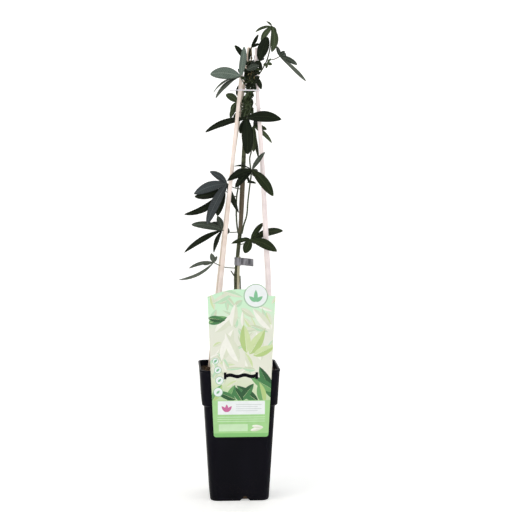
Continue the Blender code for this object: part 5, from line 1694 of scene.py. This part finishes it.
# %% Single blades of the crown, and its dry shoots and tendrils
# kind, foot and shape of blades that stand out of the tangles
CROWN_BLADES = [
    ("sage", (12, -21, 659), (70, 20, 11, 4, 25)), ("dark", (28, -14, 649), (160, 20, 8, 0, 20)),
    ("dark", (9.5, 1, 678), (-36, 25, 8, 4, 0)), ("dark", (6, -19, 652), (-40, 11, 6, 0, 0)),
    ("dark", (6, 3, 641), (-158, 21, 8, 0, 10)), ("mid", (4, 4, 612), (-150, 18, 7, 0, 20)),
    ("mid", (3, 3, 597), (-140, 16, 7, 0, 30)), ("dark", (16, -4, 672), (4, 22, 5, 0, 30)),
    ("dark", (22, -16, 652), (70, 12, 6, 5, 10)), ("mid", (22, -17, 660), (95, 11, 6, 0, 20)),
    ("dark", (23, -16, 644), (60, 11, 6, 4, 0)), ("dark", (22, -18, 666), (55, 12, 6, 0, 20)),
    ("mid", (9, -17, 645), (-60, 8, 5, 4, 0)), ("dark", (-15, -2, 417), (-172, 9, 5, 0, 0)),
    ("dark", (24, -14, 638), (40, 11, 5, 6, 10)), ("dark", (27, -14, 486.5), (-84, 14, 4.5, 0, 20)),
    ("dark", (13.5, -12, 498), (165, 11, 4, 0, 20)),
]
# start, end, radius, how wide it winds, turns, start turn
DRY_SHOOTS = [
    ((19, -6, 664), (20.6, -3.5, 696), 0.85, 1.7, 2.2, 0.0),
    ((21, -6, 662), (20.8, -3, 690), 0.7, 1.9, 1.9, 2.4),
    ((22, -4, 652), (25.5, -1, 683), 0.6, 1.4, 2.0, 4.0),
]
TENDRILS = [
    ((14, -21, 652), (27, -18, 656), 0.32, 1.5, 3.0, 0.0),
    ((17, -21, 645), (20, -20, 658), 0.3, 0.8, 1.2, 2.0),
    ((24, -20, 646), (22, -20, 659), 0.3, 0.7, 1.4, 3.0),
    ((4, 2, 626), (-7, 0, 612), 0.35, 2.2, 3.0, 1.0),
    ((26, 2, 610), (36, -1, 601), 0.35, 1.8, 2.6, 3.0),
]
WIND_STEPS = 16  # in a turn
WIND_START = 0.15  # how wide it winds at its start already, as a share of the run
TAPER = 0.45  # how much of its radius it loses


def winding_path(start, end, radius, reach, turns, first_turn):
    """A thin path that winds round the straight line between two points and narrows to its end."""
    start, end = Vector(start), Vector(end)
    side = (end - start).cross(FRONT).normalized()
    other = (end - start).cross(side).normalized()
    count = int(WIND_STEPS * turns)
    path = []
    for step in range(count + 1):
        t = step / count
        turn = 2 * math.pi * turns * t + first_turn
        wound = (side * math.cos(turn) + other * math.sin(turn)) * reach
        wound *= math.sin(math.pi * min(1, t + WIND_START))
        path.append((start.lerp(end, t) + wound, radius * (1 - TAPER * t)))
    return path


for kind, foot, shape in CROWN_BLADES:
    blade_records[kind].append(blade_record(Vector(foot), shape))
dry_shoots = [winding_path(*plan) for plan in DRY_SHOOTS + TENDRILS]
print("dry shoots and tendrils:", len(dry_shoots))

# %% Grow every blade
BLADE_VALUES = {"Rows": 17, "Across": 9, "Bulge": BLADE_BULGE, "Thickness": BLADE_THICKNESS * MM,
                "Fold": BLADE_FOLD, "Least half": LEAST_HALF * MM, "Midrib width": 0.6 * MM,
                "Midrib depth": 0.3 * MM, "Ripple": 0.05}
# slots of the kinds that don't take the common one
SLOTS = {"grey": "foliage_grey", "slate": "foliage_grey", "blue": "foliage_blue"}
for kind, records in blade_records.items():
    guide = guide_mesh(f"blades_{kind}_guide", [record["foot"] / MM for record in records], [],
                       {label: [record[label] for record in records] for label in records[0]})
    upper, under = leaf_skins[kind]
    values = dict(BLADE_VALUES, **{"Upper side": upper, "Underside": under})
    blades = run_tree(blade_tree, f"leaf_blades_{kind}", guide, values)
    replaced = [*LEAVES, *TANGLES] if kind == "dark" else []
    dress(blades, SLOTS.get(kind, "foliage"), *replaced)

# %% Grow the stems and stalks
THIN_STEM_GIRTH = 1.2  # leaf scars and bark stand out of the solids' radius
STEM_VALUES = {"Step": 1.2 * MM, "Sides": 20, "Flatness": 1.0, "Relief": 0.5 * MM,
               "Ridge width": 1.1 * MM, "Ridge length": 9 * MM, "Facets": 0.12, "Seed": 2.0, "Bark": bark}
THIN_VALUES = dict(STEM_VALUES, Sides=12, Relief=0.25 * MM, Bark=stalk_skin)
STALK_VALUES = dict(THIN_VALUES, Step=0.8 * MM, Sides=10, Relief=0.12 * MM, Facets=0.1)
DRY_VALUES = dict(STALK_VALUES, Sides=8, Bark=dry_skin)
THIN_STEMS = ["side_stem_right", "side_stem_left", "foot_shoot"]
thin = [[(point, radius * THIN_STEM_GIRTH) for point, radius in paths[name]] for name in THIN_STEMS]
main_stem = grow_stems("woody_main_stem", [paths["main_stem"], smooth_path(STUB)], STEM_VALUES)
dress(main_stem, "stem", "main_stem")
dress(grow_stems("thin_side_stems", thin, THIN_VALUES), "stem", *THIN_STEMS)
dress(grow_stems("leaf_stalks", stalks + twines, STALK_VALUES), "foliage")
dress(grow_stems("dry_shoots_and_tendrils", dry_shoots, DRY_VALUES), "stem")
